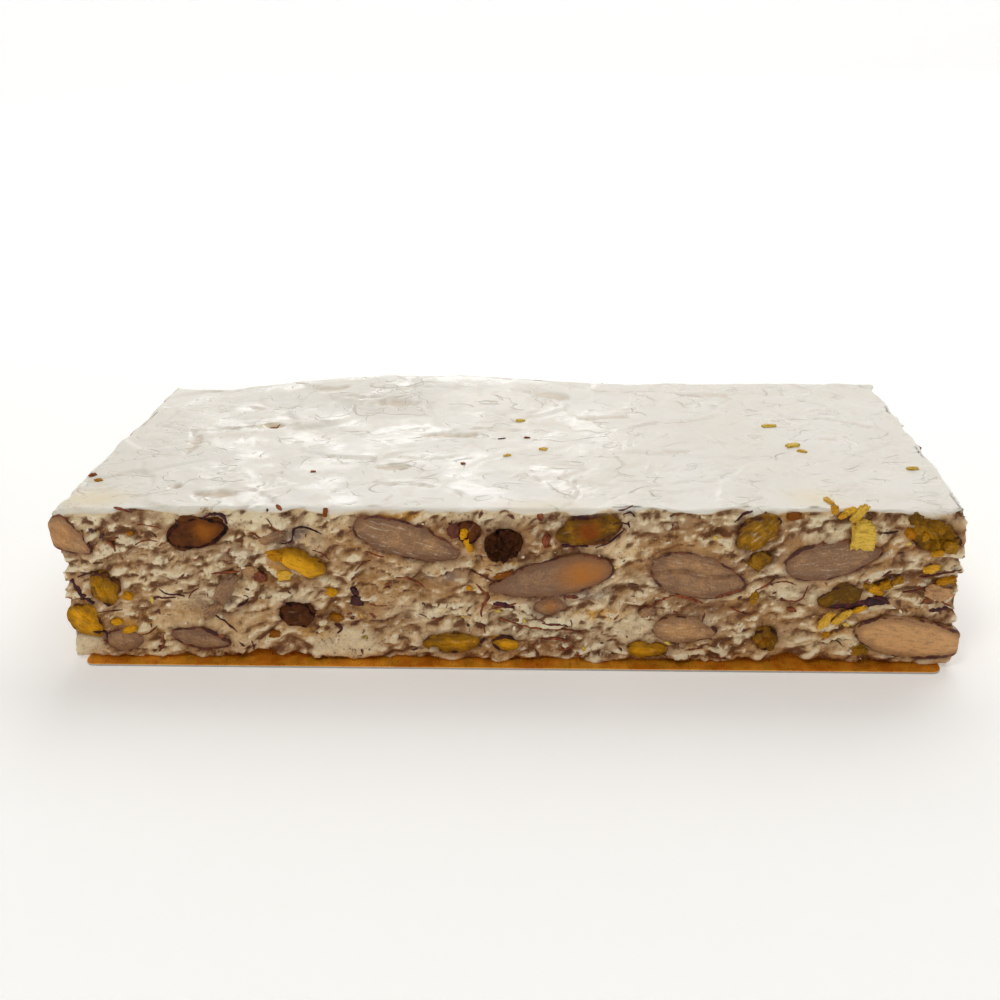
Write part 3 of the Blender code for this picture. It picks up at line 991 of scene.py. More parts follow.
# %% The tree for torn walls
def torn_relief(material):
    """Swells, folds, lumps, pits and grain on the walls, in millimetres."""
    numbers = {
        "Swell depth": 1.45,
        "Fold depth": 1.2,
        "Fold height": 3.6,
        "Thread depth": 0.62,
        "Lump depth": 0.7,
        "Pit depth": 0.6,
        "Grain depth": 0.34,
    }
    tree, pins = node_group("torn relief", numbers)
    block_in = pins["Geometry"]
    place = block_in.add("GeometryNodeInputPosition").scaled(1 / MM)
    wander = place.stretch(1 / 12, 1 / 12, 1 / 9).noise(1.0, 2.0, out=1)
    bent = place.shifted(wander.shifted((-0.5, -0.5, -0.5)).scaled(7.0))
    apart = bent.add("ShaderNodeSeparateXYZ", None, {0: bent})
    x, y, height = (Pin(tree, socket) for socket in apart.socket.node.outputs)
    dragged = bent.add("ShaderNodeCombineXYZ", None, {0: x, 1: y, 2: height - x * 0.32 - y * 0.32})
    loose = place.noise(1 / 15, 2.0).ramp(0.40, 0.60)
    swell = dragged.stretch(1 / 13, 1 / 13, 1 / 6).noise(1.0, 4.0, 0.50) - 0.5
    swell = swell.math("ABSOLUTE", swell) * 5.0
    slide = place.stretch(1 / 15, 1 / 15, 1 / 11).noise(1.0, 2.0) * 2.4
    step = height / pins["Fold height"] + slide
    rise = step.math("FRACT", step)
    broken = place.stretch(1 / 6.5, 1 / 6.5, 1 / 3.6).noise(1.0, 1.0).ramp(0.44, 0.62)
    fold = (1 - rise).math("POWER", 1 - rise, 0.75) * broken
    lump = dragged.stretch(1 / 4.6, 1 / 4.6, 1 / 2.7).cells(1.0, "SMOOTH_F1", Smoothness=0.55)
    lump = lump.ramp(0.75, 0.05)
    small = bent.stretch(1 / 1.9, 1 / 1.9, 1 / 1.3).cells(1.0, "SMOOTH_F1", Smoothness=0.35)
    small = small.ramp(0.7, 0.05)
    pit = bent.cells(1 / 2.3).ramp(0.30, 0.12) * place.noise(1 / 4.0, 0.0).ramp(0.52, 0.62)
    grain = place.noise(1.0, 4.0, 0.68) - 0.5
    tight = height / (pins["Fold height"] * 0.42) + slide * 1.7 + place.noise(1 / 3.0, 1.0) * 1.3
    frayed = place.stretch(1 / 3.2, 1 / 3.2, 1 / 1.6).noise(1.0, 1.0).ramp(0.42, 0.58)
    thread = (1 - tight.math("FRACT", tight)) * frayed
    shreds = (
        (fold - 0.35) * pins["Fold depth"]
        + (thread - 0.3) * pins["Thread depth"]
        + (small - 0.5) * 0.40
        - pit * pins["Pit depth"]
        + grain * pins["Grain depth"] * 2.0
    )
    calm = 1 - stored(block_in, "calm") * 0.85
    dough = (swell - 0.45) * pins["Swell depth"] * (1 - loose * 0.4)
    relief = (dough + (lump - 0.4) * pins["Lump depth"] + shreds * (loose * 0.7 + 0.35)) * calm
    relief = relief * stored(block_in, "torn")
    hang = (fold + thread * 0.5) * loose * calm * stored(block_in, "torn") * -0.5
    push = stored(block_in, "out", "FLOAT_VECTOR").scaled(relief)
    push = push.shifted(push.add("ShaderNodeCombineXYZ", None, {2: hang})).scaled(MM)
    moved = block_in.add("GeometryNodeSetPosition", None, {"Geometry": block_in, "Offset": push})
    blur = {"Value": relief, "Iterations": 7}
    around = relief.add("GeometryNodeBlurAttribute", {"data_type": "FLOAT"}, blur)
    # The relief and the cavity drive the painted shade and painted highlight of the nougat's material.
    moved = keep(moved, "relief", relief)
    finish_group(keep(moved, "cavity", around - relief), material)
    return tree


# %% [markdown]
# ## The nougat's material
#
# Nougat is white where it is whipped and thick, and turns to honey brown where it is thin or
# dense. So the colour starts from cream and goes to tan with a slow noise. Over that, shade is
# painted into the hollows that the relief stored, into pinholes and beside the nuts, and painted
# highlight goes onto the raised folds. The skin is paler and glossy, with painted shade in its
# creases, and the torn walls are matt. Light enters nougat a little way, which subsurface
# scattering gives.


# %% Nougat material
def new_material(name):
    """An empty material, and a Pin to build with."""
    material = bpy.data.materials.new(name)
    material.use_nodes = True
    material.node_tree.nodes.clear()
    return material, Pin(material.node_tree)


def finish_material(material, pin, sockets):
    """Ends a material with a shader that has these sockets."""
    shader = pin.add("ShaderNodeBsdfPrincipled", {"subsurface_method": "RANDOM_WALK"}, sockets)
    output = material.node_tree.nodes.new("ShaderNodeOutputMaterial")
    material.node_tree.links.new(shader.socket, output.inputs["Surface"])
    return material


def attributes_of(pin, *names):
    """Named numbers of the mesh, for a material."""
    kind = {"attribute_type": "GEOMETRY"}
    return [pin.add("ShaderNodeAttribute", {**kind, "attribute_name": name}, out=2) for name in names]


def object_place(pin):
    """The place on the object, in millimetres."""
    return pin.add("ShaderNodeTexCoord", out=3).scaled(1 / MM)


def bump(height, strength, distance):
    """A normal from a height in millimetres."""
    sockets = {"Height": height, "Strength": strength, "Distance": distance * MM}
    return height.add("ShaderNodeBump", None, sockets)


def nougat_material():
    """Matt cream and brown on the torn walls, glossy white on the skin."""
    material, pin = new_material("nougat")
    place = object_place(pin)
    up = place.add("ShaderNodeSeparateXYZ", None, {0: place}, out=2)
    wall, hollow_shade_and_highlight, depth, contact_shade = attributes_of(pin, "torn", "cavity", "relief", "contact_shade")
    edge, crease, tan_flat = attributes_of(pin, "edge", "crease_shade", "tan")
    honey, grey, pale = attributes_of(pin, "honey", "grey", "pale")
    slow = place.stretch(1 / 12, 1 / 12, 1 / 6).noise(1.0, 3.0, 0.62)
    middle = place.noise(1 / 3.0, 3.0, 0.62)
    fine = place.noise(1 / 0.8, 4.0, 0.75)
    pinholes = place.cells(1 / 0.9).ramp(0.30, 0.12) * middle.ramp(0.45, 0.6)
    cream = layered(
        paint(slow.ramp(0.38, 0.60), (0.84, 0.61, 0.34), (0.56, 0.31, 0.115)),
        (middle.ramp(0.50, 0.70) * 0.6, (0.42, 0.20, 0.065)),
        (place.noise(1 / 16, 2.0).ramp(0.56, 0.66) * 0.45, (0.40, 0.27, 0.18)),
        ((up + middle * 4.0).ramp(33.0, 36.6) * 0.7, (0.93, 0.75, 0.46)),
        # Painted shade: grey patches, mostly beside the nuts.
        (grey * middle.ramp(0.30, 0.60) * 1.1, (0.27, 0.18, 0.13)),
        (pale.ramp(0.0, 0.6) * (1.35 - middle) * 0.9, (0.93, 0.77, 0.50)),
        (honey.ramp(0.0, 0.7) * middle.ramp(0.35, 0.55), (0.72, 0.36, 0.05)),
        # Painted shade where the relief is sunk and in the hollows, painted highlight on the raised folds:
        (depth.ramp(0.1, -1.0) * 0.68, (0.30, 0.12, 0.028)),
        (hollow_shade_and_highlight.ramp(0.01, 0.34) * 0.90, (0.15, 0.048, 0.010)),
        (hollow_shade_and_highlight.ramp(-0.04, -0.38) * 0.80, (0.98, 0.85, 0.60)),
        (fine.ramp(0.55, 0.69) * 0.60, (0.22, 0.078, 0.020)),
        (fine.ramp(0.44, 0.32) * 0.35, (0.96, 0.84, 0.62)),
        # Painted shade on the nougat right beside each nut.
        (contact_shade * 0.6, (0.20, 0.065, 0.018)),
        # Painted shade in the pinholes, which the bump also sinks.
        (pinholes * 0.6, (0.20, 0.07, 0.03)),
    )
    # Thin fold lines on the skin: grooves in the bump, with painted shade along them.
    level = place.stretch(1 / 26, 1 / 17, 0.0).noise(1.0, 2.0, 0.45) - 0.5
    other = place.stretch(1 / 11, 1 / 8, 0.0).noise(1.0, 2.0, 0.5) - 0.47
    lines = level.math("ABSOLUTE", level).ramp(0.010, 0.0)
    lines = lines + other.math("ABSOLUTE", other).ramp(0.012, 0.0) * 0.7
    lines = (lines * place.noise(1 / 7.0, 2.0).ramp(0.46, 0.60)).clamp()
    skin = layered(
        paint(place.noise(1 / 22, 3.0).ramp(0.4, 0.65), (0.84, 0.80, 0.72), (0.88, 0.85, 0.79)),
        (place.noise(1 / 5.5, 3.0, 0.6).ramp(0.56, 0.74) * 0.40, (0.76, 0.68, 0.56)),
        (tan_flat * 0.75, (0.60, 0.45, 0.30)),
        # Painted shade in the creases and tears of the skin.
        (crease * 0.35, (0.66, 0.54, 0.40)),
        (honey * 0.55, (0.86, 0.70, 0.40)),
        (edge * 0.85, (0.84, 0.67, 0.42)),
        (lines * 0.30, (0.66, 0.56, 0.43)),
    )
    gloss = place.noise(1 / 11, 3.0, 0.6).ramp(0.38, 0.60, 0.18, 0.46)
    detail = fine * 0.5 + place.noise(1 / 0.32, 2.0) * 0.25
    low_grain = place.noise(1 / 1.6, 3.0, 0.6) * 0.10
    height = wall.ramp(0.0, 0.8) * (detail * 2.0 - pinholes * 0.5) + low_grain - lines * 0.55
    sockets = {
        "Base Color": paint(wall.ramp(0.05, 0.75), skin, cream),
        "Roughness": wall.ramp(0.1, 0.8) * (0.58 - gloss) + gloss + fine * 0.06,
        "Normal": bump(height, 0.95, 0.42),
        "Subsurface Weight": 0.12,
        "Subsurface Radius": (1.0, 0.6, 0.3),
        "Subsurface Scale": 0.9 * MM,
        "Specular IOR Level": 0.36,
    }
    return finish_material(material, pin, sockets)


nougat_stuff = nougat_material()
nougat_bar = run_group(nougat, torn_relief(nougat_stuff), "nougat_torn", fold_depth=1.4, lump_depth=0.8)
bpy.data.objects.remove(nougat)
finish_piece(nougat_bar, nougat_stuff, "nougat", "nougat")
print(f"nougat: {len(nougat_bar.data.polygons)} faces", [a.name for a in nougat_bar.data.attributes][:12])

# %% [markdown]
# ## The nuts in section
#
# A cut nut is a thin brown skin round pale flesh. Each nut is a mesh of rings: the outline drawn
# smaller and smaller up to the middle of the cut face, and the same outline going back into the
# nougat behind it. What differs from nut to nut, such as how far it bulges or how crumbly it is,
# stands in one table. The distance to the nut's own skin, measured on the plain model, is stored
# on each point, so that the material can draw the skin as a line of even width.


# %% How the nuts look
class Look(NamedTuple):
    """What one nut's cut face is like. Heights are millimetres; tone, amber and worn run from 0 to 1."""

    sink: float = 0.25
    bulge: float = 0.15
    rough: float = 0.10
    grain: float = 2.5
    tone: float = 0.5
    amber: float = 0.0
    amber_at: float = 0.0
    peel: float = 0.45
    worn: float = 0.3
    groove: float = 0.0


USUAL = {
    "almond": Look(),
    "pistachio": Look(bulge=0.35, rough=0.30, grain=1.6, peel=0.25),
    "toasted": Look(bulge=0.30, rough=0.45, grain=1.3, peel=0.5),
}
FRONT_LOOKS = {
    "almond": [
        Look(tone=0.35, amber=0.35, amber_at=-0.2, peel=0.4),
        Look(sink=0.6, tone=0.7, peel=0.25, bulge=0.4, rough=0.2),
        Look(sink=0.4, tone=0.9, peel=0.6, bulge=0.4, rough=0.4, grain=1.4, worn=0.5),
        Look(sink=0.7, tone=0.9, peel=0.4, worn=1.0, rough=0.32, grain=1.4, bulge=0.5),
        Look(sink=-0.1, tone=1.0, amber=1.0, amber_at=0.5, peel=0.5, bulge=1.0, worn=0.1),
        Look(sink=0.5, tone=0.8, amber=0.6, peel=0.2, bulge=0.3, rough=0.2),
        Look(sink=0.35, tone=0.8, peel=0.35, groove=0.8, worn=0.6, rough=0.28),
        Look(sink=0.3, tone=0.35, peel=0.4, worn=1.0, bulge=0.4, rough=0.28),
        Look(sink=0.3, tone=1.0, peel=0.35, worn=0.7, bulge=0.5, rough=0.2),
        Look(sink=0.1, tone=0.0, peel=0.4, bulge=0.5),
    ],
    "pistachio": [
        Look(rough=1.3, grain=2.0, tone=0.45, peel=0.5, bulge=0.5, sink=0.7),
        Look(rough=0.6, grain=2.0, tone=0.85, bulge=0.5, sink=0.6, peel=0.2),
        Look(sink=0.4, bulge=2.1, rough=0.5, tone=1.05, amber=0.0, peel=0.0, worn=0.0),
        Look(sink=0.4, bulge=0.6, rough=0.6, grain=2.2, tone=0.1, amber=1.0, peel=0.4),
        Look(sink=0.4, rough=0.6, tone=0.4, peel=0.3),
        Look(sink=0.4, tone=0.95, peel=0.15),
        Look(sink=0.3, rough=0.5, tone=0.3, peel=0.4, worn=1.0),
        Look(sink=0.4, tone=0.7, peel=0.2),
        Look(sink=0.5, rough=1.4, grain=1.4, tone=0.3, amber=0.6, peel=0.5),
        Look(sink=0.9, rough=0.2, tone=0.0, peel=0.2, bulge=0.2),
        Look(sink=0.5, rough=1.8, grain=1.8, tone=0.35, peel=0.4),
    ],
    "toasted": [
        Look(sink=0.2, bulge=0.6, rough=0.6, tone=0.5, amber=1.0, amber_at=0.35, peel=0.6, worn=0.0),
        Look(sink=0.3, rough=1.4, tone=0.35, peel=0.6),
        Look(sink=0.8, rough=1.4, tone=0.4, amber=0.3),
        Look(sink=0.3, bulge=1.2, rough=3.0, grain=1.2, tone=0.2, worn=0.0),
    ],
}
LOOKS = {
    f"{kind}_front_{number:02d}": look
    for kind, looks in FRONT_LOOKS.items()
    for number, look in enumerate(looks, 1)
}


# %% A nut's mesh
RING_STEP = 0.45
SIDE_DEPTHS = (0.25, 0.7, 1.4, 2.4, 3.6)
SIDE_ROUND = 5.2
TAIL_DEPTH = 4.2
LAP = 1.02
RIM_DROP = 0.16


def skin_tree(node):
    """A search tree over the faces of a plain nut that the saw didn't make."""
    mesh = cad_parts[node].data
    uncut = [face for face in mesh.polygons if not any(sawn(face, wall) for wall in WALLS)]
    corners = [v.co / MM for v in mesh.vertices]
    return BVHTree.FromPolygons(corners, [tuple(face.vertices) for face in uncut])


def varied(look, number):
    """A look of its own for a nut that has no line in the table."""
    dice = np.random.default_rng(number)
    return look._replace(
        tone=float(dice.uniform(0.1, 0.95)),
        sink=float(dice.uniform(0.1, 0.5)),
        worn=float(dice.uniform(0.0, 0.8)),
        amber=float(dice.choice([0.0, 0.0, 0.3, 0.8])),
        amber_at=float(dice.uniform(-0.5, 0.5)),
        groove=float(dice.choice([0.0, 0.0, 0.0, 0.6])) if look.peel > 0.4 else 0.0,
    )


def kernel_mesh(section, look, seed):
    """Rings over the cut face, then rings going back into the nougat."""
    loop = evenly(section.outline, RING_STEP)
    middle = loop.mean(axis=0)
    arms = loop - middle
    spread, axes = np.linalg.eigh(np.cov(arms.T))
    long_axis = axes[:, 1] * np.sign(axes[0, 1])
    half_long, half_wide = np.abs(arms @ long_axis).max(), np.abs(arms @ axes[:, 0]).max()
    normal, side = WALLS[section.wall], along(section.wall)
    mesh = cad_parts[section.node].data
    plane = max(v.co.dot(Vector(normal)) for v in mesh.vertices) / MM - reach(section.wall) - look.sink

    rings = max(5, int(half_wide / RING_STEP))
    shares = [*np.linspace(0, 1, rings + 1)[1:-1], 0.965, 1.0]
    end_wall = np.sign(middle[0]) * HALF[0] if section.wall in ("front", "back") else None
    pivot = middle.copy()
    if end_wall is not None and np.abs(loop[:, 0] - end_wall).min() < 0.6:
        pivot[0] = end_wall

    flat, level, depth = [middle], [1.0], [0.0]
    for share in shares:
        flat += list(middle + share * arms * LAP)
        level += [1 - share**2] * len(loop)
        depth += [RIM_DROP * (share == 1.0)] * len(loop)
    for down in SIDE_DEPTHS:
        shrink = math.sqrt(1 - (down / SIDE_ROUND) ** 2)
        flat += list(pivot + shrink * (middle + arms * LAP - pivot))
        level += [0.0] * len(loop)
        depth += [RIM_DROP + down] * len(loop)
    flat, level, depth = np.array(flat), np.array(level), np.array(depth)
    tail = pivot + 0.6 * (middle - pivot)

    lies = (flat - middle) @ long_axis / half_long
    crosswise = (flat - middle) @ [-long_axis[1], long_axis[0]] / half_wide
    front_face = depth < 0.1
    lift = look.bulge * level**0.8 - depth
    bumps = flat_noise(flat, look.grain, 3, seed, 3.7 * seed)
    lift += look.rough * bumps * (0.35 + 0.65 * front_face)
    if look.worn:
        drawn_out = np.c_[lies * half_long / 1.6, crosswise * half_wide / 0.5, lies * 0 + seed]
        scratch = cloudy(drawn_out, 2, seed + 7)
        lift -= 0.16 * look.worn * np.clip(scratch, 0, 1) * front_face
    if look.groove:
        beyond = crosswise - 0.12 - 0.35 * lies
        split = np.abs(beyond + 0.10 * np.sin(4 * lies))
        lift -= look.groove * smooth(0.14, 0.0, split) * smooth(0.0, 0.35, level) * front_face
        lift -= 0.3 * smooth(0.0, 0.1, beyond) * level * front_face
    plane += reach(section.wall)
    place = flat[:, :1] * side + flat[:, 1:] * UP + (plane + lift)[:, None] * normal
    tail_place = tail[0] * side + tail[1] * UP + (plane - TAIL_DEPTH) * normal
    place = np.vstack([place, tail_place])

    count = len(loop)
    faces = [(0, 1 + m, 1 + (m + 1) % count) for m in range(count)]
    total = len(shares) + len(SIDE_DEPTHS)
    for ring in range(total - 1):
        faces += ring_quads(1 + ring * count, 1 + (ring + 1) * count, count)
    last = 1 + (total - 1) * count
    faces += [(last + m, len(place) - 1, last + (m + 1) % count) for m in range(count)]

    tree = skin_tree(section.node)
    to_skin = [tree.find_nearest(Vector(p))[3] for p in place]
    glow = np.append(mound(np.hypot((lies - look.amber_at) / 0.62, crosswise / 1.3)), 0)
    attributes = {
        "to_skin": np.array(to_skin) - 0.8 * look.peel + 0.30,
        "amber": look.amber * glow,
        "tone": np.full(len(place), look.tone),
        "worn": np.full(len(place), look.worn),
        "lies": np.append(lies * half_long, 0),
        "crosswise": np.append(crosswise * half_wide, 0),
    }
    return place, faces, attributes


# %% [markdown]
# ## Materials of the nuts
#
# Three finishes share one plan: flesh, then amber where honey soaked in, then the skin wherever
# the stored distance to it is small. Almond flesh is tan to grey with fine streaks along the nut,
# pistachio is yellow to olive, and the roasted nuts are nearly black with rusty spots.


# %% Nut materials
def nut_material(name, flesh_pair, shade, amber, skin_pair, streak, gloss, speckle, shine):
    """Flesh of two tones, amber stains and a skin line. A streak runs along the nut."""
    material, pin = new_material(name)
    place = object_place(pin)
    to_skin, glow, tone, worn = attributes_of(pin, "to_skin", "amber", "tone", "worn")
    length, width = attributes_of(pin, "lies", "crosswise")
    own = pin.add("ShaderNodeCombineXYZ", None, {0: length * 0.35, 1: width * 1.6, 2: tone * 40.0})
    streaks = own.noise(1.0, 3.0, 0.6)
    broad = place.noise(1 / 5.0, 2.0, 0.6)
    patchy = place.noise(1 / 2.2, 3.0, 0.6)
    fine = place.noise(1 / 0.45, 3.0, 0.7)
    mix = tone + (patchy - 0.5) * 1.3 + (broad - 0.5) * 0.9 + (fine - 0.5) * 1.0
    flesh = layered(
        paint(mix.clamp(), *flesh_pair),
        ((tone - 1.0) * 2.5, (0.90, 0.62, 0.10)),
        (streaks.ramp(0.48, 0.68) * streak, shade),
        (streaks.ramp(0.44, 0.30) * worn * 0.6, (0.80, 0.66, 0.48)),
        (fine.ramp(0.40, 0.28) * worn * 0.5, (0.86, 0.74, 0.58)),
        (to_skin.ramp(1.1, 2.4) * worn * 0.16, flesh_pair[0]),
        (fine.ramp(0.58, 0.70) * speckle, shade),
        ((glow * (0.45 + patchy * 1.1)).clamp(), amber),
        # Darker towards the rim of the cut face: the nut's own outer layer, and painted shade where the nut
        # meets the nougat.
        ((to_skin + (patchy - 0.5) * 0.6).ramp(1.9, 0.3) * 0.55, shade),
    )
    skin = paint(patchy.ramp(0.40, 0.62), *skin_pair)
    line = to_skin + (fine - 0.5) * 0.45 + (patchy - 0.5) * 1.1 + (broad - 0.5) * 1.4
    is_skin = line.ramp(0.30, 0.12)
    height = fine * 0.9 + streaks * 0.5 + patchy * 0.8 + is_skin * 0.4
    sockets = {
        "Base Color": paint(is_skin, flesh, skin),
        "Roughness": (fine * 0.5 + gloss + is_skin * 0.15 + worn * 0.10).clamp(),
        "Normal": bump(height, 0.9, 0.42),
        "Subsurface Weight": 0.10,
        "Subsurface Radius": (1.0, 0.45, 0.15),
        "Subsurface Scale": 0.9 * MM,
        "Specular IOR Level": shine,
    }
    return finish_material(material, pin, sockets)


NUT_STUFF = {
    "almond": nut_material(
        "almond",
        flesh_pair=((0.71, 0.38, 0.145), (0.25, 0.133, 0.072)),
        shade=(0.20, 0.08, 0.028),
        amber=(0.50, 0.17, 0.014),
        skin_pair=((0.075, 0.018, 0.010), (0.24, 0.065, 0.025)),
        streak=0.40,
        gloss=0.12,
        speckle=0.30,
        shine=0.40,
    ),
    "pistachio": nut_material(
        "pistachio",
        flesh_pair=((0.15, 0.068, 0.003), (0.90, 0.41, 0.002)),
        shade=(0.11, 0.045, 0.003),
        amber=(0.26, 0.060, 0.003),
        skin_pair=((0.055, 0.016, 0.012), (0.18, 0.06, 0.010)),
        streak=0.40,
        gloss=0.16,
        speckle=0.50,
        shine=0.12,
    ),
    "toasted": nut_material(
        "toasted",
        flesh_pair=((0.018, 0.006, 0.003), (0.24, 0.075, 0.016)),
        shade=(0.10, 0.026, 0.008),
        amber=(0.34, 0.105, 0.010),
        skin_pair=((0.010, 0.004, 0.003), (0.06, 0.014, 0.007)),
        streak=0.4,
        gloss=0.36,
        speckle=0.7,
        shine=0.10,
    ),
}
SLOTS = {"almond": "almond", "pistachio": "pistachio", "toasted": "toasted_nut"}

# %% All the nuts
main_faces = {}
for section in SECTIONS:
    main_faces.setdefault(section.node, section)
kernels = []
for number, section in enumerate(main_faces.values()):
    kind = section.node.split("_")[0]
    look = LOOKS.get(section.node) or varied(USUAL[kind], number)
    points, faces, attributes = kernel_mesh(section, look, number)
    kernel = new_piece(f"{section.node}_kernel", points, faces, attributes)
    finish_piece(kernel, NUT_STUFF[kind], SLOTS[kind], section.node)
    kernels.append(kernel)
print(f"{len(kernels)} nuts, {sum(len(k.data.polygons) for k in kernels)} faces")

# %% [markdown]
# ## Skins, chips and crumbs
#
# The saw also left its own mess: slivers of brown nut skin that stand out of the wall, chips of
# pistachio, and crumbs. The large ones are listed one by one. To make them lie on the finished
# surface and not inside it, a ray is shot at the wall from outside, and the piece goes where the
# ray lands.

# %% Finding the surface
START_OUT = 8.0
nougat_and_nuts = []
for piece in [nougat_bar, *kernels]:
    corners = [v.co / MM for v in piece.data.vertices]
    facets = [tuple(p.vertices) for p in piece.data.polygons]
    nougat_and_nuts.append(BVHTree.FromPolygons(corners, facets))


def surface(side, u, v):
    """How far out the bar's surface lies at (u, v) on a side."""
    normal = UP if side == "top" else WALLS[side]
    plane = SKIN_TOP if side == "top" else reach(side)
    if side != "top":
        v = min(v, SKIN_TOP - 0.9)
    start = on_side(side, u, v, plane + START_OUT)
    best = START_OUT + 1.0
    for tree in nougat_and_nuts:
        hit = tree.ray_cast(Vector(start), Vector(-normal), best)
        if hit[0] is not None:
            best = min(best, hit[3])
    return plane + START_OUT - best


# %% Slivers of nut skin
class Sliver(NamedTuple):
    """A strip of skin along a line of (u, v) points. Its hue runs from 0, rust, to 1, near black purple."""

    side: str
    width: float
    hue: float
    line: list


SLIVERS = placed(
    Sliver,
    front=[
        (0.6, 0, ((-81, 36.4), (-79.5, 36), (-77.5, 35.4))),
        (0.7, 0.3, ((-83.5, 28.5), (-82.5, 27.5), (-82, 26.5))),
        (0.4, 0.3, ((-83, 29), (-81, 29.5))), (0.6, 0.7, ((-68, 34), (-67, 33))),
        (0.9, 0.8, ((-62, 34.4), (-60, 35.2), (-58, 35), (-57, 33.2))),
        (0.35, 0.3, ((-80, 26), (-76.5, 28.5), (-72.5, 29))),
        (0.5, 0.1, ((-62, 21), (-60, 21.2), (-56, 21.5))),
        (0.45, 0.8, ((-57.5, 13), (-55.5, 14), (-54.5, 16), (-55.5, 16.2))),
        (1.5, 0.95, ((-93, 19.5), (-92, 17.5), (-90.5, 15.5), (-88.8, 13.8))),
        (0.6, 0.7, ((-91.5, 20), (-88, 21.4), (-84.5, 21.6))),
        (0.4, 0.6, ((-79, 6.5), (-77, 7), (-75.5, 8.5))),
        (0.35, 0.5, ((-88, 12), (-85, 12), (-82.5, 12.5))),
        (0.7, 0.9, ((-89.5, 7.5), (-87.5, 7), (-87, 5.5))),
        (0.6, 0, ((-74.5, 5.5), (-75, 3.5), (-76, 2))),
        (0.5, 0.9, ((-46, 28.5), (-44, 29), (-43.5, 30.5), (-43.2, 31.5), (-41, 32), (-37.5, 30.5))),
        (0.5, 0, ((-28.5, 26.5), (-27, 26), (-24.5, 25.5))), (0.4, 0, ((-25, 18.5), (-23.5, 19))),
        (0.5, 0.2, ((-22.5, 20.5), (-20, 20.2), (-18, 19.2), (-16.5, 18))),
        (0.9, 0.2, ((-46.5, 37), (-46, 36.5), (-45.5, 35.8))),
        (0.4, 0.5, ((-31, 22), (-29.5, 23.5), (-27.5, 24.5))),
        (0.8, 0.4, ((-5.5, 19), (-4, 17.5), (-3, 16), (-4.5, 13), (-4.5, 11.5))),
        (0.6, 0.6, ((-6.5, 22), (-4, 21), (-1.5, 19.5))),
        (1.2, 0.9, ((-2, 14.6), (0, 14.6), (2.5, 14))),
        (0.8, 0.7, ((-36.5, 9), (-35, 7.8), (-36, 7))), (0.6, 0.9, ((-5, 4.5), (-4, 6))),
        (0.45, 0.1, ((-0.5, 10.5), (2.5, 9.6), (5, 9.1), (9, 8.6), (13, 8.1), (16.5, 7.5))),
        (1.2, 0.85, ((12.5, 27.9), (15, 28.3), (18, 28.1))),
        (0.9, 0.5, ((13.5, 16.5), (16, 16.5))), (0.4, 0.6, ((24, 36), (25.5, 36.2), (27, 37))),
        (0.45, 0.8, ((25, 35), (26.5, 35.5), (27.5, 34.5))), (0.5, 0.9, ((26, 33.5), (26.5, 32))),
        (0.4, 0.7, ((23, 33.5), (24.5, 33.6), (26, 33))), (0.4, 0.4, ((24.5, 32.6), (25.8, 31.4))),
        (0.5, 0.9, ((19.5, 27.8), (21, 28.5), (23, 29.5), (24.5, 31), (25.5, 32))),
        (0.6, 0.4, ((29.5, 13.5), (31.5, 14), (33.5, 15.5), (35.5, 17))),
        (0.9, 0.3, ((35.5, 17), (37.5, 16.6), (40, 15.8), (42, 15))),
        (0.6, 0.3, ((44.5, 16.5), (47.5, 17.5), (49.5, 18.5))),
        (0.5, 0.3, ((30.5, 11.5), (31.5, 13))), (0.5, 0, ((23.5, 11), (24.5, 12.5))),
        (0.5, 0.4, ((39.5, 3.5), (42.5, 4))), (0.3, 0.4, ((56.5, 19.5), (59, 20), (61, 19.3))),
        (0.4, 0.1, ((58, 15.5), (61, 15.5), (62.5, 16.5), (63.5, 19))),
        (0.9, 0.1, ((59.5, 13.5), (61.5, 13))),
        (2, 1, ((68.5, 14.3), (72.5, 14.6), (76, 15.4), (79.5, 14.8))),
        (1.4, 0.75, ((76, 15.8), (78, 16.2), (80.5, 14.8))),
        (0.5, 0.6, ((86.5, 21), (89, 21.5), (94, 23))),
        (0.4, 0.4, ((86, 19), (88.5, 17), (91, 15.5), (93.5, 14))),
        (1, 0.8, ((88.5, 13.5), (92.5, 14))), (0.6, 0.7, ((78, 21.5), (80, 22.5))),
        (0.3, 0.8, ((77, 31), (79, 31), (80.5, 31.5))),
        (0.6, 0.8, ((47.5, 33.5), (49.5, 35.3), (51, 36.2))),
    ],
    top=[
        (0.7, 0.2, ((-60.6, 9.2), (-59.2, 9.6), (-58, 10.6))), (0.5, 1, ((-3, -0.4), (-1.2, 0.2))),
    ],
)


# A strip's cross section: places across it, and their heights over the surface.
STRIP_SECTION = ((-1, 0.12), (0, 0.24), (1, 0.10), (1, -0.25), (-1, -0.25))


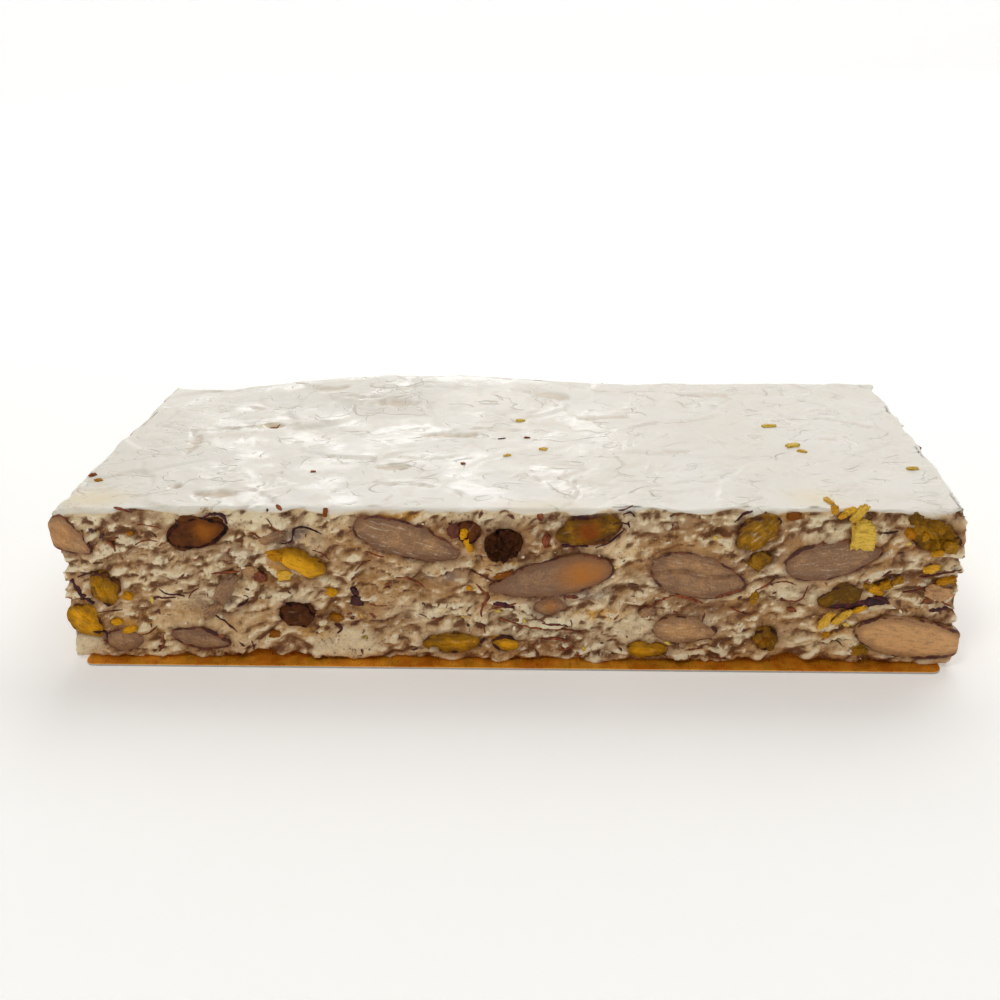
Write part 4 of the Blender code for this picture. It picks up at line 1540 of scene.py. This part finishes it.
def sliver_mesh(sliver, number):
    """A thin strip with ragged edges that stands a little out of the surface."""
    line = curve_through(sliver.line, 0.45)
    if len(line) < 4:
        line = curve_through([sliver.line[0], sliver.line[-1]], 0.3)
    heading = np.gradient(line, axis=0)
    heading /= np.linalg.norm(heading, axis=1)[:, None] + 1e-9
    across = np.stack([-heading[:, 1], heading[:, 0]], axis=1)
    share = np.linspace(0, 1, len(line))
    ragged = 1 + 0.9 * flat_noise(line, 0.9, 3, number, number)
    taper = 0.25 + 0.85 * np.sin(np.pi * np.clip(share, 0.04, 0.96)) ** 0.7
    half = 0.40 * sliver.width * taper * ragged
    curl = 0.30 * perlin(np.c_[share * 3, share * 0 + number, share * 0 + 0.5], seed=3)
    points = []
    for spot, side, size, twist in zip(line, across, half, curl):
        level = surface(sliver.side, *spot)
        for edge, lift in STRIP_SECTION:
            u, v = spot + side * size * edge
            points.append(on_side(sliver.side, u, v, level + lift + twist * edge * size))
    last = 5 * (len(line) - 1)
    faces = []
    for a in range(0, last, 5):
        faces += [(a + n, a + (n + 1) % 5, a + 5 + (n + 1) % 5, a + 5 + n) for n in range(5)]
    faces += [(4, 3, 2, 1, 0), tuple(last + n for n in range(5))]
    return np.array(points), faces, {"hue": np.full(len(points), sliver.hue)}


def joined(parts):
    """Several meshes with the same attributes as one."""
    points, faces, attributes = [], [], {}
    start = 0
    for part_points, part_faces, part_attributes in parts:
        points.append(part_points)
        faces += [tuple(n + start for n in face) for face in part_faces]
        for key, values in part_attributes.items():
            attributes.setdefault(key, []).append(values)
        start += len(part_points)
    return np.vstack(points), faces, {key: np.concatenate(values) for key, values in attributes.items()}


def outward(piece):
    """Turns every face of a piece outwards."""
    bm = bmesh.new()
    bm.from_mesh(piece.data)
    bmesh.ops.recalc_face_normals(bm, faces=bm.faces)
    bm.to_mesh(piece.data)
    bm.free()


# %% [markdown]
# The sides that have no listed slivers get some from a seeded dice: a short bent line at a
# random place, as long and as wide as the ones on the front.

# %% More slivers for the other walls
CORNER_CLEAR = 4.0


def clear_of_nuts(side, u, v, margin=1.2):
    """Whether a place on a wall is nougat and not nut."""
    spot = np.array([[u, v]])
    return all(outline_distance(spot, s.outline)[0] > margin for s in SECTIONS if s.wall == side)


def random_slivers(side, count, seed):
    """Up to a number of slivers for a wall, where there is no nut."""
    dice = np.random.default_rng(seed)
    half = half_length(side) - CORNER_CLEAR
    found = []
    for _ in range(count):
        u, v = dice.uniform(-half, half), dice.uniform(3.0, 33.0)
        turn, length = dice.normal(0.0, 0.6), dice.uniform(1.2, 6.0)
        bend = dice.uniform(-0.25, 0.25) * length
        step = np.array([math.cos(turn), math.sin(turn)]) * length / 2
        centre = np.array([u, v])
        middle = centre + [-step[1] * bend / length, step[0] * bend / length]
        line = [tuple(centre - step), tuple(middle), tuple(centre + step)]
        if all(clear_of_nuts(side, *spot) for spot in line):
            found.append(Sliver(side, dice.uniform(0.22, 0.6), dice.uniform(0.0, 0.8), line))
    return found


for side, count in (("back", 50), ("left", 24), ("right", 24), ("front", 34)):
    SLIVERS += random_slivers(side, 2 * count, 100 + count)


def skin_material():
    """Brown nut skin: rust where it is thin, nearly black purple where it is a pistachio's."""
    material, pin = new_material("nut_skin")
    place = object_place(pin)
    (hue,) = attributes_of(pin, "hue")
    patchy = place.noise(1 / 1.1, 3.0, 0.6)
    rust = paint(patchy.ramp(0.40, 0.62), (0.34, 0.085, 0.025), (0.13, 0.032, 0.014))
    plum = paint(patchy.ramp(0.45, 0.65), (0.030, 0.009, 0.010), (0.11, 0.014, 0.024))
    sockets = {
        "Base Color": paint(hue.ramp(0.25, 0.85), rust, plum),
        "Roughness": patchy.ramp(0.3, 0.7, 0.30, 0.55),
        "Normal": bump(place.noise(1 / 0.4, 2.0), 0.6, 0.15),
        "Specular IOR Level": 0.22,
    }
    return finish_material(material, pin, sockets)


skin_stuff = skin_material()
slivers = new_piece("skin_slivers", *joined([sliver_mesh(s, n) for n, s in enumerate(SLIVERS)]))
outward(slivers)
finish_piece(slivers, skin_stuff, "almond")
print(f"{len(SLIVERS)} slivers, {len(slivers.data.polygons)} faces")

# %% Chips of pistachio
class Chip(NamedTuple):
    """A broken piece at (u, v) on a side: its length, height and thickness, its turn and its look."""

    side: str
    u: float
    v: float
    long: float
    high: float
    thick: float
    turn: float
    tone: float
    amber: float = 0.0
    out: float = 0.2


CHIPS = placed(
    Chip,
    front=[
        (73.4, 30.8, 4.4, 5.6, 3.2, 4, 1.35, 0, 0.9), (72.4, 35.4, 4.4, 1.9, 1, 58, 1.3),
        (70.6, 36, 2.6, 1.5, 0.9, 20, 1.2, 0, 0.1), (67.4, 36.2, 1.5, 2.2, 1, 10, 1.1, 0.3),
        (69.2, 35, 2, 1, 0.9, 30, 1.1, 0.2), (67.7, 11.3, 4.4, 1.5, 1.4, 55, 1.2, 0, 0.4),
        (70.7, 12, 4.6, 1.3, 1.4, 40, 1.2, 0, 0.5), (74.4, 13.6, 3, 1.1, 1, 24, 1),
        (75.2, 4.1, 3, 2, 1.6, 10, 0.2), (68, 7.5, 1.6, 1.4, 1, 0, 1, 0.5),
        (83, 31.2, 2.2, 2.8, 1.8, 60, 0.9, 0.5), (88, 23, 3.4, 1.6, 1.2, 20, 1.1),
        (91.2, 20.4, 3.4, 1.2, 1.2, 14, 0.9, 0.4), (53, 24.8, 3.6, 4.2, 1.4, -38, 0),
        (52.5, 16.2, 1.8, 3, 1.2, 0, 0.4), (75.6, 19.2, 2.2, 1.6, 1.4, 10, 0.4),
        (77.2, 18.2, 2.8, 1.8, 1.4, -20, 0.7), (79.2, 19.2, 2.6, 1.8, 1.4, 15, 0.5),
        (81.6, 20.2, 2.6, 1.6, 1.2, 30, 0.3), (83.6, 34.3, 2.6, 3, 1.6, 70, 0),
        (59.5, 34.8, 2.8, 1.5, 1.2, 8, 0.2, 0.8, 0.1), (-36.5, 17, 2.2, 1.7, 1.2, -20, 0.9),
        (-46, 21.4, 3.2, 2.2, 1, 10, 1.2), (-36, 10.6, 3.2, 1.8, 1.2, -8, 0.4, 0.5, 0),
        (-49.6, 6.4, 2.8, 1.8, 1, 0, 0.4, 0.7, 0), (-84.3, 9.4, 2.4, 1.4, 1, 15, 0.9),
        (-81.5, 7.6, 3.2, 1.6, 0.8, 20, 0.9), (-7.7, 31, 1.6, 2.6, 1.4, -20, 0.9),
        (-6.8, 28.4, 1.3, 3.2, 1.4, 18, 1), (0.6, 21.6, 4.2, 1.5, 0.9, 16, 0.3, 0.8, 0),
        (-7, 18, 1.2, 1, 1, 0, 1), (-47, 26.6, 3.8, 2.2, 1.8, -8, 0.8, 0.3, 0.3),
        (-36.2, 35.6, 0.9, 1.8, 0.9, -8, 0.5, 1), (-78.4, 30.5, 1.2, 0.9, 0.8, 0, 0.9, 0.6),
        (-81, 16, 2.6, 2, 1.6, -30, 0.8, 0.2), (85.4, 30.6, 2.4, 2, 1.6, 20, 0.6),
        (90.6, 29, 2.6, 2.2, 1.8, -20, 0.3), (88.4, 27.2, 2.2, 1.4, 1.4, 10, 0.8),
    ],
    top=[
        (1.7, 12.6, 2.4, 1.6, 0.7, 0, 1.4, 0, 0.05),
        (-0.2, -11.3, 1.8, 1.3, 0.6, 20, 1.3, 0.1, 0.05),
        (7.9, -7.5, 1.9, 1.4, 0.6, -20, 1.35, 0, 0.05), (-9.9, -16.3, 1.1, 0.9, 0.6, 0, 0.4, 1, 0),
        (3.9, 0.5, 1.4, 0.8, 0.6, 0, 0.4, 1, 0), (61.6, 6.6, 3.4, 1.8, 0.7, 10, 1.4, 0, 0.05),
        (65, -6.2, 3.2, 1.8, 0.8, 20, 1.4, 0, 0.05),
        (66.6, -9.2, 2.2, 1.2, 0.6, -20, 1.3, 0.1, 0.05),
        (88.6, -19.5, 2.6, 1.6, 0.7, 0, 1.35, 0.1, 0.05),
        (67, -38, 3.4, 1.3, 0.8, 105, 1.2, 0.1, 0.1), (-43, -21.7, 1.2, 0.8, 0.5, 10, 0.4, 1, 0),
        (-92.6, -23.4, 1.6, 1.4, 0.9, 0, 0.4, 1, 0), (-90.6, -25.6, 1.8, 1.2, 0.8, 0, 0.9, 0.5, 0),
        (-59.6, 9.2, 2.8, 1.6, 0.8, 10, 0.1, 1, 0), (-71.2, -29.8, 1.4, 1, 0.8, 0, -0.6, 0, -0.3),
    ],
)
ALMOND_BITS = placed(
    Chip,
    front=[
        (-59.2, 17.6, 7.2, 3.2, 1.3, 52, 0.9, 0, 0.5), (-62.6, 12.2, 5.4, 2, 1.2, 40, 0.8, 0, 0.1),
        (-53.5, 21.8, 3, 2, 1.2, 10, 0.5), (-47.8, 30, 5, 2, 1.2, 20, 0.8),
        (30.6, 12.6, 3.4, 1.8, 1, 20, 0.7), (90, 17.6, 5.4, 3, 1.6, -10, 0.2),
    ],
    back=[(-30, 28, 5, 2.2, 1.2, 30, 0.6), (40, 10, 4.2, 2.4, 1.2, -20, 0.8)],
)
MAROON = placed(
    Chip,
    front=[
        (-31, 15, 2.6, 2.2, 1.2, -6, 0.75), (-31.4, 17.4, 1.4, 2, 1, 20, 1),
        (-51.6, 20.5, 2.8, 2.2, 1.2, -10, 0.45), (9.3, 29.2, 1.6, 2.6, 1.2, -14, 0.1),
        (8.2, 34.6, 1.2, 1.6, 0.8, 10, 0.2), (-9.5, 31.6, 2.6, 3.4, 1.6, 10, 0.6),
    ],
)


def chip_mesh(chip, number):
    """A lump with flat sides and rough faces, sunk partly into the surface."""
    bm = bmesh.new()
    bmesh.ops.create_icosphere(bm, subdivisions=4 if chip.long > 3.3 else 3, radius=1.0)
    ball = np.array([v.co for v in bm.verts])
    faces = [tuple(v.index for v in f.verts) for f in bm.faces]
    bm.free()
    squared = np.sign(ball) * np.abs(ball) ** (0.5 + 0.14 * (number % 4))
    squared *= 1 + 0.50 * cloudy(ball * 1.7 + number * 3.1, 4, seed=number)[:, None]
    squared *= np.array([chip.long, chip.high, chip.thick]) / 2
    turn = math.radians(chip.turn)
    u = chip.u + squared[:, 0] * math.cos(turn) - squared[:, 1] * math.sin(turn)
    v = chip.v + squared[:, 0] * math.sin(turn) + squared[:, 1] * math.cos(turn)
    level = surface(chip.side, chip.u, chip.v) + chip.out
    heights = level + squared[:, 2]
    points = np.array([on_side(chip.side, *spot) for spot in zip(u, v, heights)])
    size = len(points)
    attributes = {
        "to_skin": np.full(size, 9.0),
        "amber": np.full(size, chip.amber),
        "tone": np.full(size, chip.tone),
        "worn": np.full(size, 0.2),
        "lies": squared[:, 0] * 2,
        "crosswise": squared[:, 1] * 2,
        "hue": np.full(size, chip.tone),
    }
    return points, faces, attributes


def random_chips(side, count, seed):
    """Chips for the walls that have none listed."""
    dice = np.random.default_rng(seed)
    half = half_length(side) - CORNER_CLEAR
    found = []
    for _ in range(count):
        u, v = dice.uniform(-half, half), dice.uniform(3.0, 34.0)
        sizes = dice.uniform(1.4, 4.2), dice.uniform(1.0, 2.4), dice.uniform(0.9, 1.8)
        turn, tone = dice.uniform(-40, 40), dice.uniform(0.1, 1.2)
        amber = float(dice.choice([0.0, 0.0, 0.4, 1.0]))
        if clear_of_nuts(side, u, v, 0.6):
            found.append(Chip(side, u, v, *sizes, turn, tone, amber))
    return found


for side, count in (("back", 30), ("left", 14), ("right", 14)):
    CHIPS += random_chips(side, count, 300 + count)
for name, table, first_number, stuff, slot_name in (
    ("pistachio_chips", CHIPS, 0, NUT_STUFF["pistachio"], "pistachio"),
    ("almond_chips", ALMOND_BITS, 90, NUT_STUFF["almond"], "almond"),
    ("skin_chips", MAROON, 0, skin_stuff, "almond"),
):
    chips = new_piece(name, *joined([chip_mesh(c, n) for n, c in enumerate(table, first_number)]))
    finish_piece(chips, stuff, slot_name)
    print(f"{name}: {len(table)} chips, {len(chips.data.polygons)} faces")

# %% [markdown]
# The finest crumbs have no places of their own, so Geometry Nodes scatter them: points on the
# torn walls, a ball of a few dozen faces on each point, squashed and turned at random, and then
# all of them made real and roughened with noise so that no two stay alike.


# %% The tree for crumbs
def crumb_tree(material):
    """Small rough balls or flakes over the torn walls. Density is per square millimetre."""
    shares = {"Flatness": 0.6, "Narrowness": 0.8}
    sizes = {"Density": 0.05, "Smallest": 0.2, "Largest": 0.6}
    tree, pins = node_group("crumbs", {**sizes, **shares, "Seed": 1})
    bar = pins["Geometry"]
    place = bar.add("GeometryNodeInputPosition").scaled(1 / MM)
    clumps = place.noise(1 / 7.0, 2.0).ramp(0.42, 0.66)
    density = stored(bar, "torn") * clumps * pins["Density"] / (MM * MM)
    spread = {"Mesh": bar, "Density": density, "Seed": pins["Seed"]}
    spots = bar.add("GeometryNodeDistributePointsOnFaces", {"distribute_method": "RANDOM"}, spread)
    turned = Pin(tree, spots.socket.node.outputs["Rotation"])
    ball = bar.add("GeometryNodeMeshIcoSphere", None, {"Radius": MM, "Subdivisions": 2})
    dice = "FunctionNodeRandomValue"
    chance = bar.add(dice, {"data_type": "FLOAT"}, {2: 0.0, 3: 1.0, 8: pins["Seed"]}, out=1)
    size = chance * chance * (pins["Largest"] - pins["Smallest"]) + pins["Smallest"]
    sides = {0: size, 1: size * pins["Narrowness"], 2: size * pins["Flatness"]}
    shape = bar.add("ShaderNodeCombineXYZ", None, sides)
    settled = {"Points": spots, "Instance": ball, "Rotation": turned, "Scale": shape}
    strewn = bar.add("GeometryNodeInstanceOnPoints", None, settled)
    turns = {0: (-0.7, -0.7, -3.1), 1: (0.7, 0.7, 3.1)}
    spin = bar.add(dice, {"data_type": "FLOAT_VECTOR"}, turns)
    strewn = bar.add("GeometryNodeRotateInstances", None, {"Instances": strewn, "Rotation": spin})
    real = bar.add("GeometryNodeRealizeInstances", None, {0: strewn})
    shift = place.noise(1.3, 2.0, out=1).shifted((-0.5, -0.5, -0.5)).scaled(0.9 * MM)
    rough = bar.add("GeometryNodeSetPosition", None, {"Geometry": real, "Offset": shift})
    finish_group(rough, material)
    return tree


def crumb_material(name, colours):
    """Three colours that change from crumb to crumb."""
    material, pin = new_material(name)
    place = object_place(pin)
    patchy = place.noise(1 / 2.1, 2.0)
    base = paint(patchy.ramp(0.40, 0.50), colours[0], colours[1])
    base = paint(patchy.ramp(0.54, 0.64), base, colours[2])
    grain = place.noise(1 / 0.35, 2.0)
    rough = grain * 0.3 + 0.35
    sockets = {"Base Color": base, "Roughness": rough, "Normal": bump(grain, 0.5, 0.12)}
    return finish_material(material, pin, sockets)


# %% All the crumbs
CRUMB_SIZES = ("density", "smallest", "largest", "flatness", "narrowness", "seed")
CRUMBS = {
    "pale_crumbs": (
        "nougat",
        ((0.86, 0.70, 0.46), (0.92, 0.80, 0.60), (0.60, 0.42, 0.24)),
        (0.025, 0.14, 0.90, 0.5, 0.6, 4),
    ),
    "yellow_crumbs": (
        "pistachio",
        ((0.62, 0.38, 0.03), (0.74, 0.55, 0.10), (0.30, 0.20, 0.03)),
        (0.012, 0.16, 1.15, 0.5, 0.6, 5),
    ),
    "skin_crumbs": (
        "almond",
        ((0.24, 0.050, 0.018), (0.09, 0.020, 0.010), (0.28, 0.08, 0.018)),
        (0.110, 0.20, 1.30, 0.22, 0.28, 6),
    ),
    "dark_crumbs": (
        "toasted_nut",
        ((0.03, 0.013, 0.010), (0.07, 0.02, 0.02), (0.05, 0.016, 0.008)),
        (0.012, 0.14, 0.80, 0.4, 0.6, 7),
    ),
}
for name, (slot_name, colours, numbers) in CRUMBS.items():
    stuff = crumb_material(name, colours)
    sizes = dict(zip(CRUMB_SIZES, numbers))
    crumbs = run_group(nougat_bar, crumb_tree(stuff), name, **sizes)
    finish_piece(crumbs, stuff, slot_name)
    print(f"{name}: {len(crumbs.data.polygons)} faces")

# %% [markdown]
# The card is board with a gold foil on top. The foil is scuffed and a little uneven, so two noises
# change its colour and its gloss, and a ramp over the height turns foil into grey board below.

# %% The gold card
def gold_card_material():
    """Foil on the top face, grey board at the cut edge."""
    material, pin = new_material("gold_card")
    place = object_place(pin)
    height = place.add("ShaderNodeSeparateXYZ", None, {0: place}, out=2)
    foil = height.ramp(0.40, 0.52)
    mottle = place.noise(1 / 6.0, 4.0, 0.65)
    scuff = place.stretch(1.0, 0.25, 1.0).noise(1 / 1.5, 3.0, 0.6)
    gold = paint(mottle.ramp(0.35, 0.64), (1.0, 0.47, 0.03), (0.74, 0.23, 0.006))
    sockets = {
        "Base Color": paint(foil, (0.42, 0.40, 0.37), gold),
        "Metallic": foil * 0.48,
        "Roughness": scuff.ramp(0.3, 0.7, 0.22, 0.42),
        "Normal": bump(mottle * 0.6 + scuff * 0.15, 0.6, 0.25),
    }
    return finish_material(material, pin, sockets)


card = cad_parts["gold_card"]
card.data.materials.clear()
card.data.materials.append(gold_card_material())
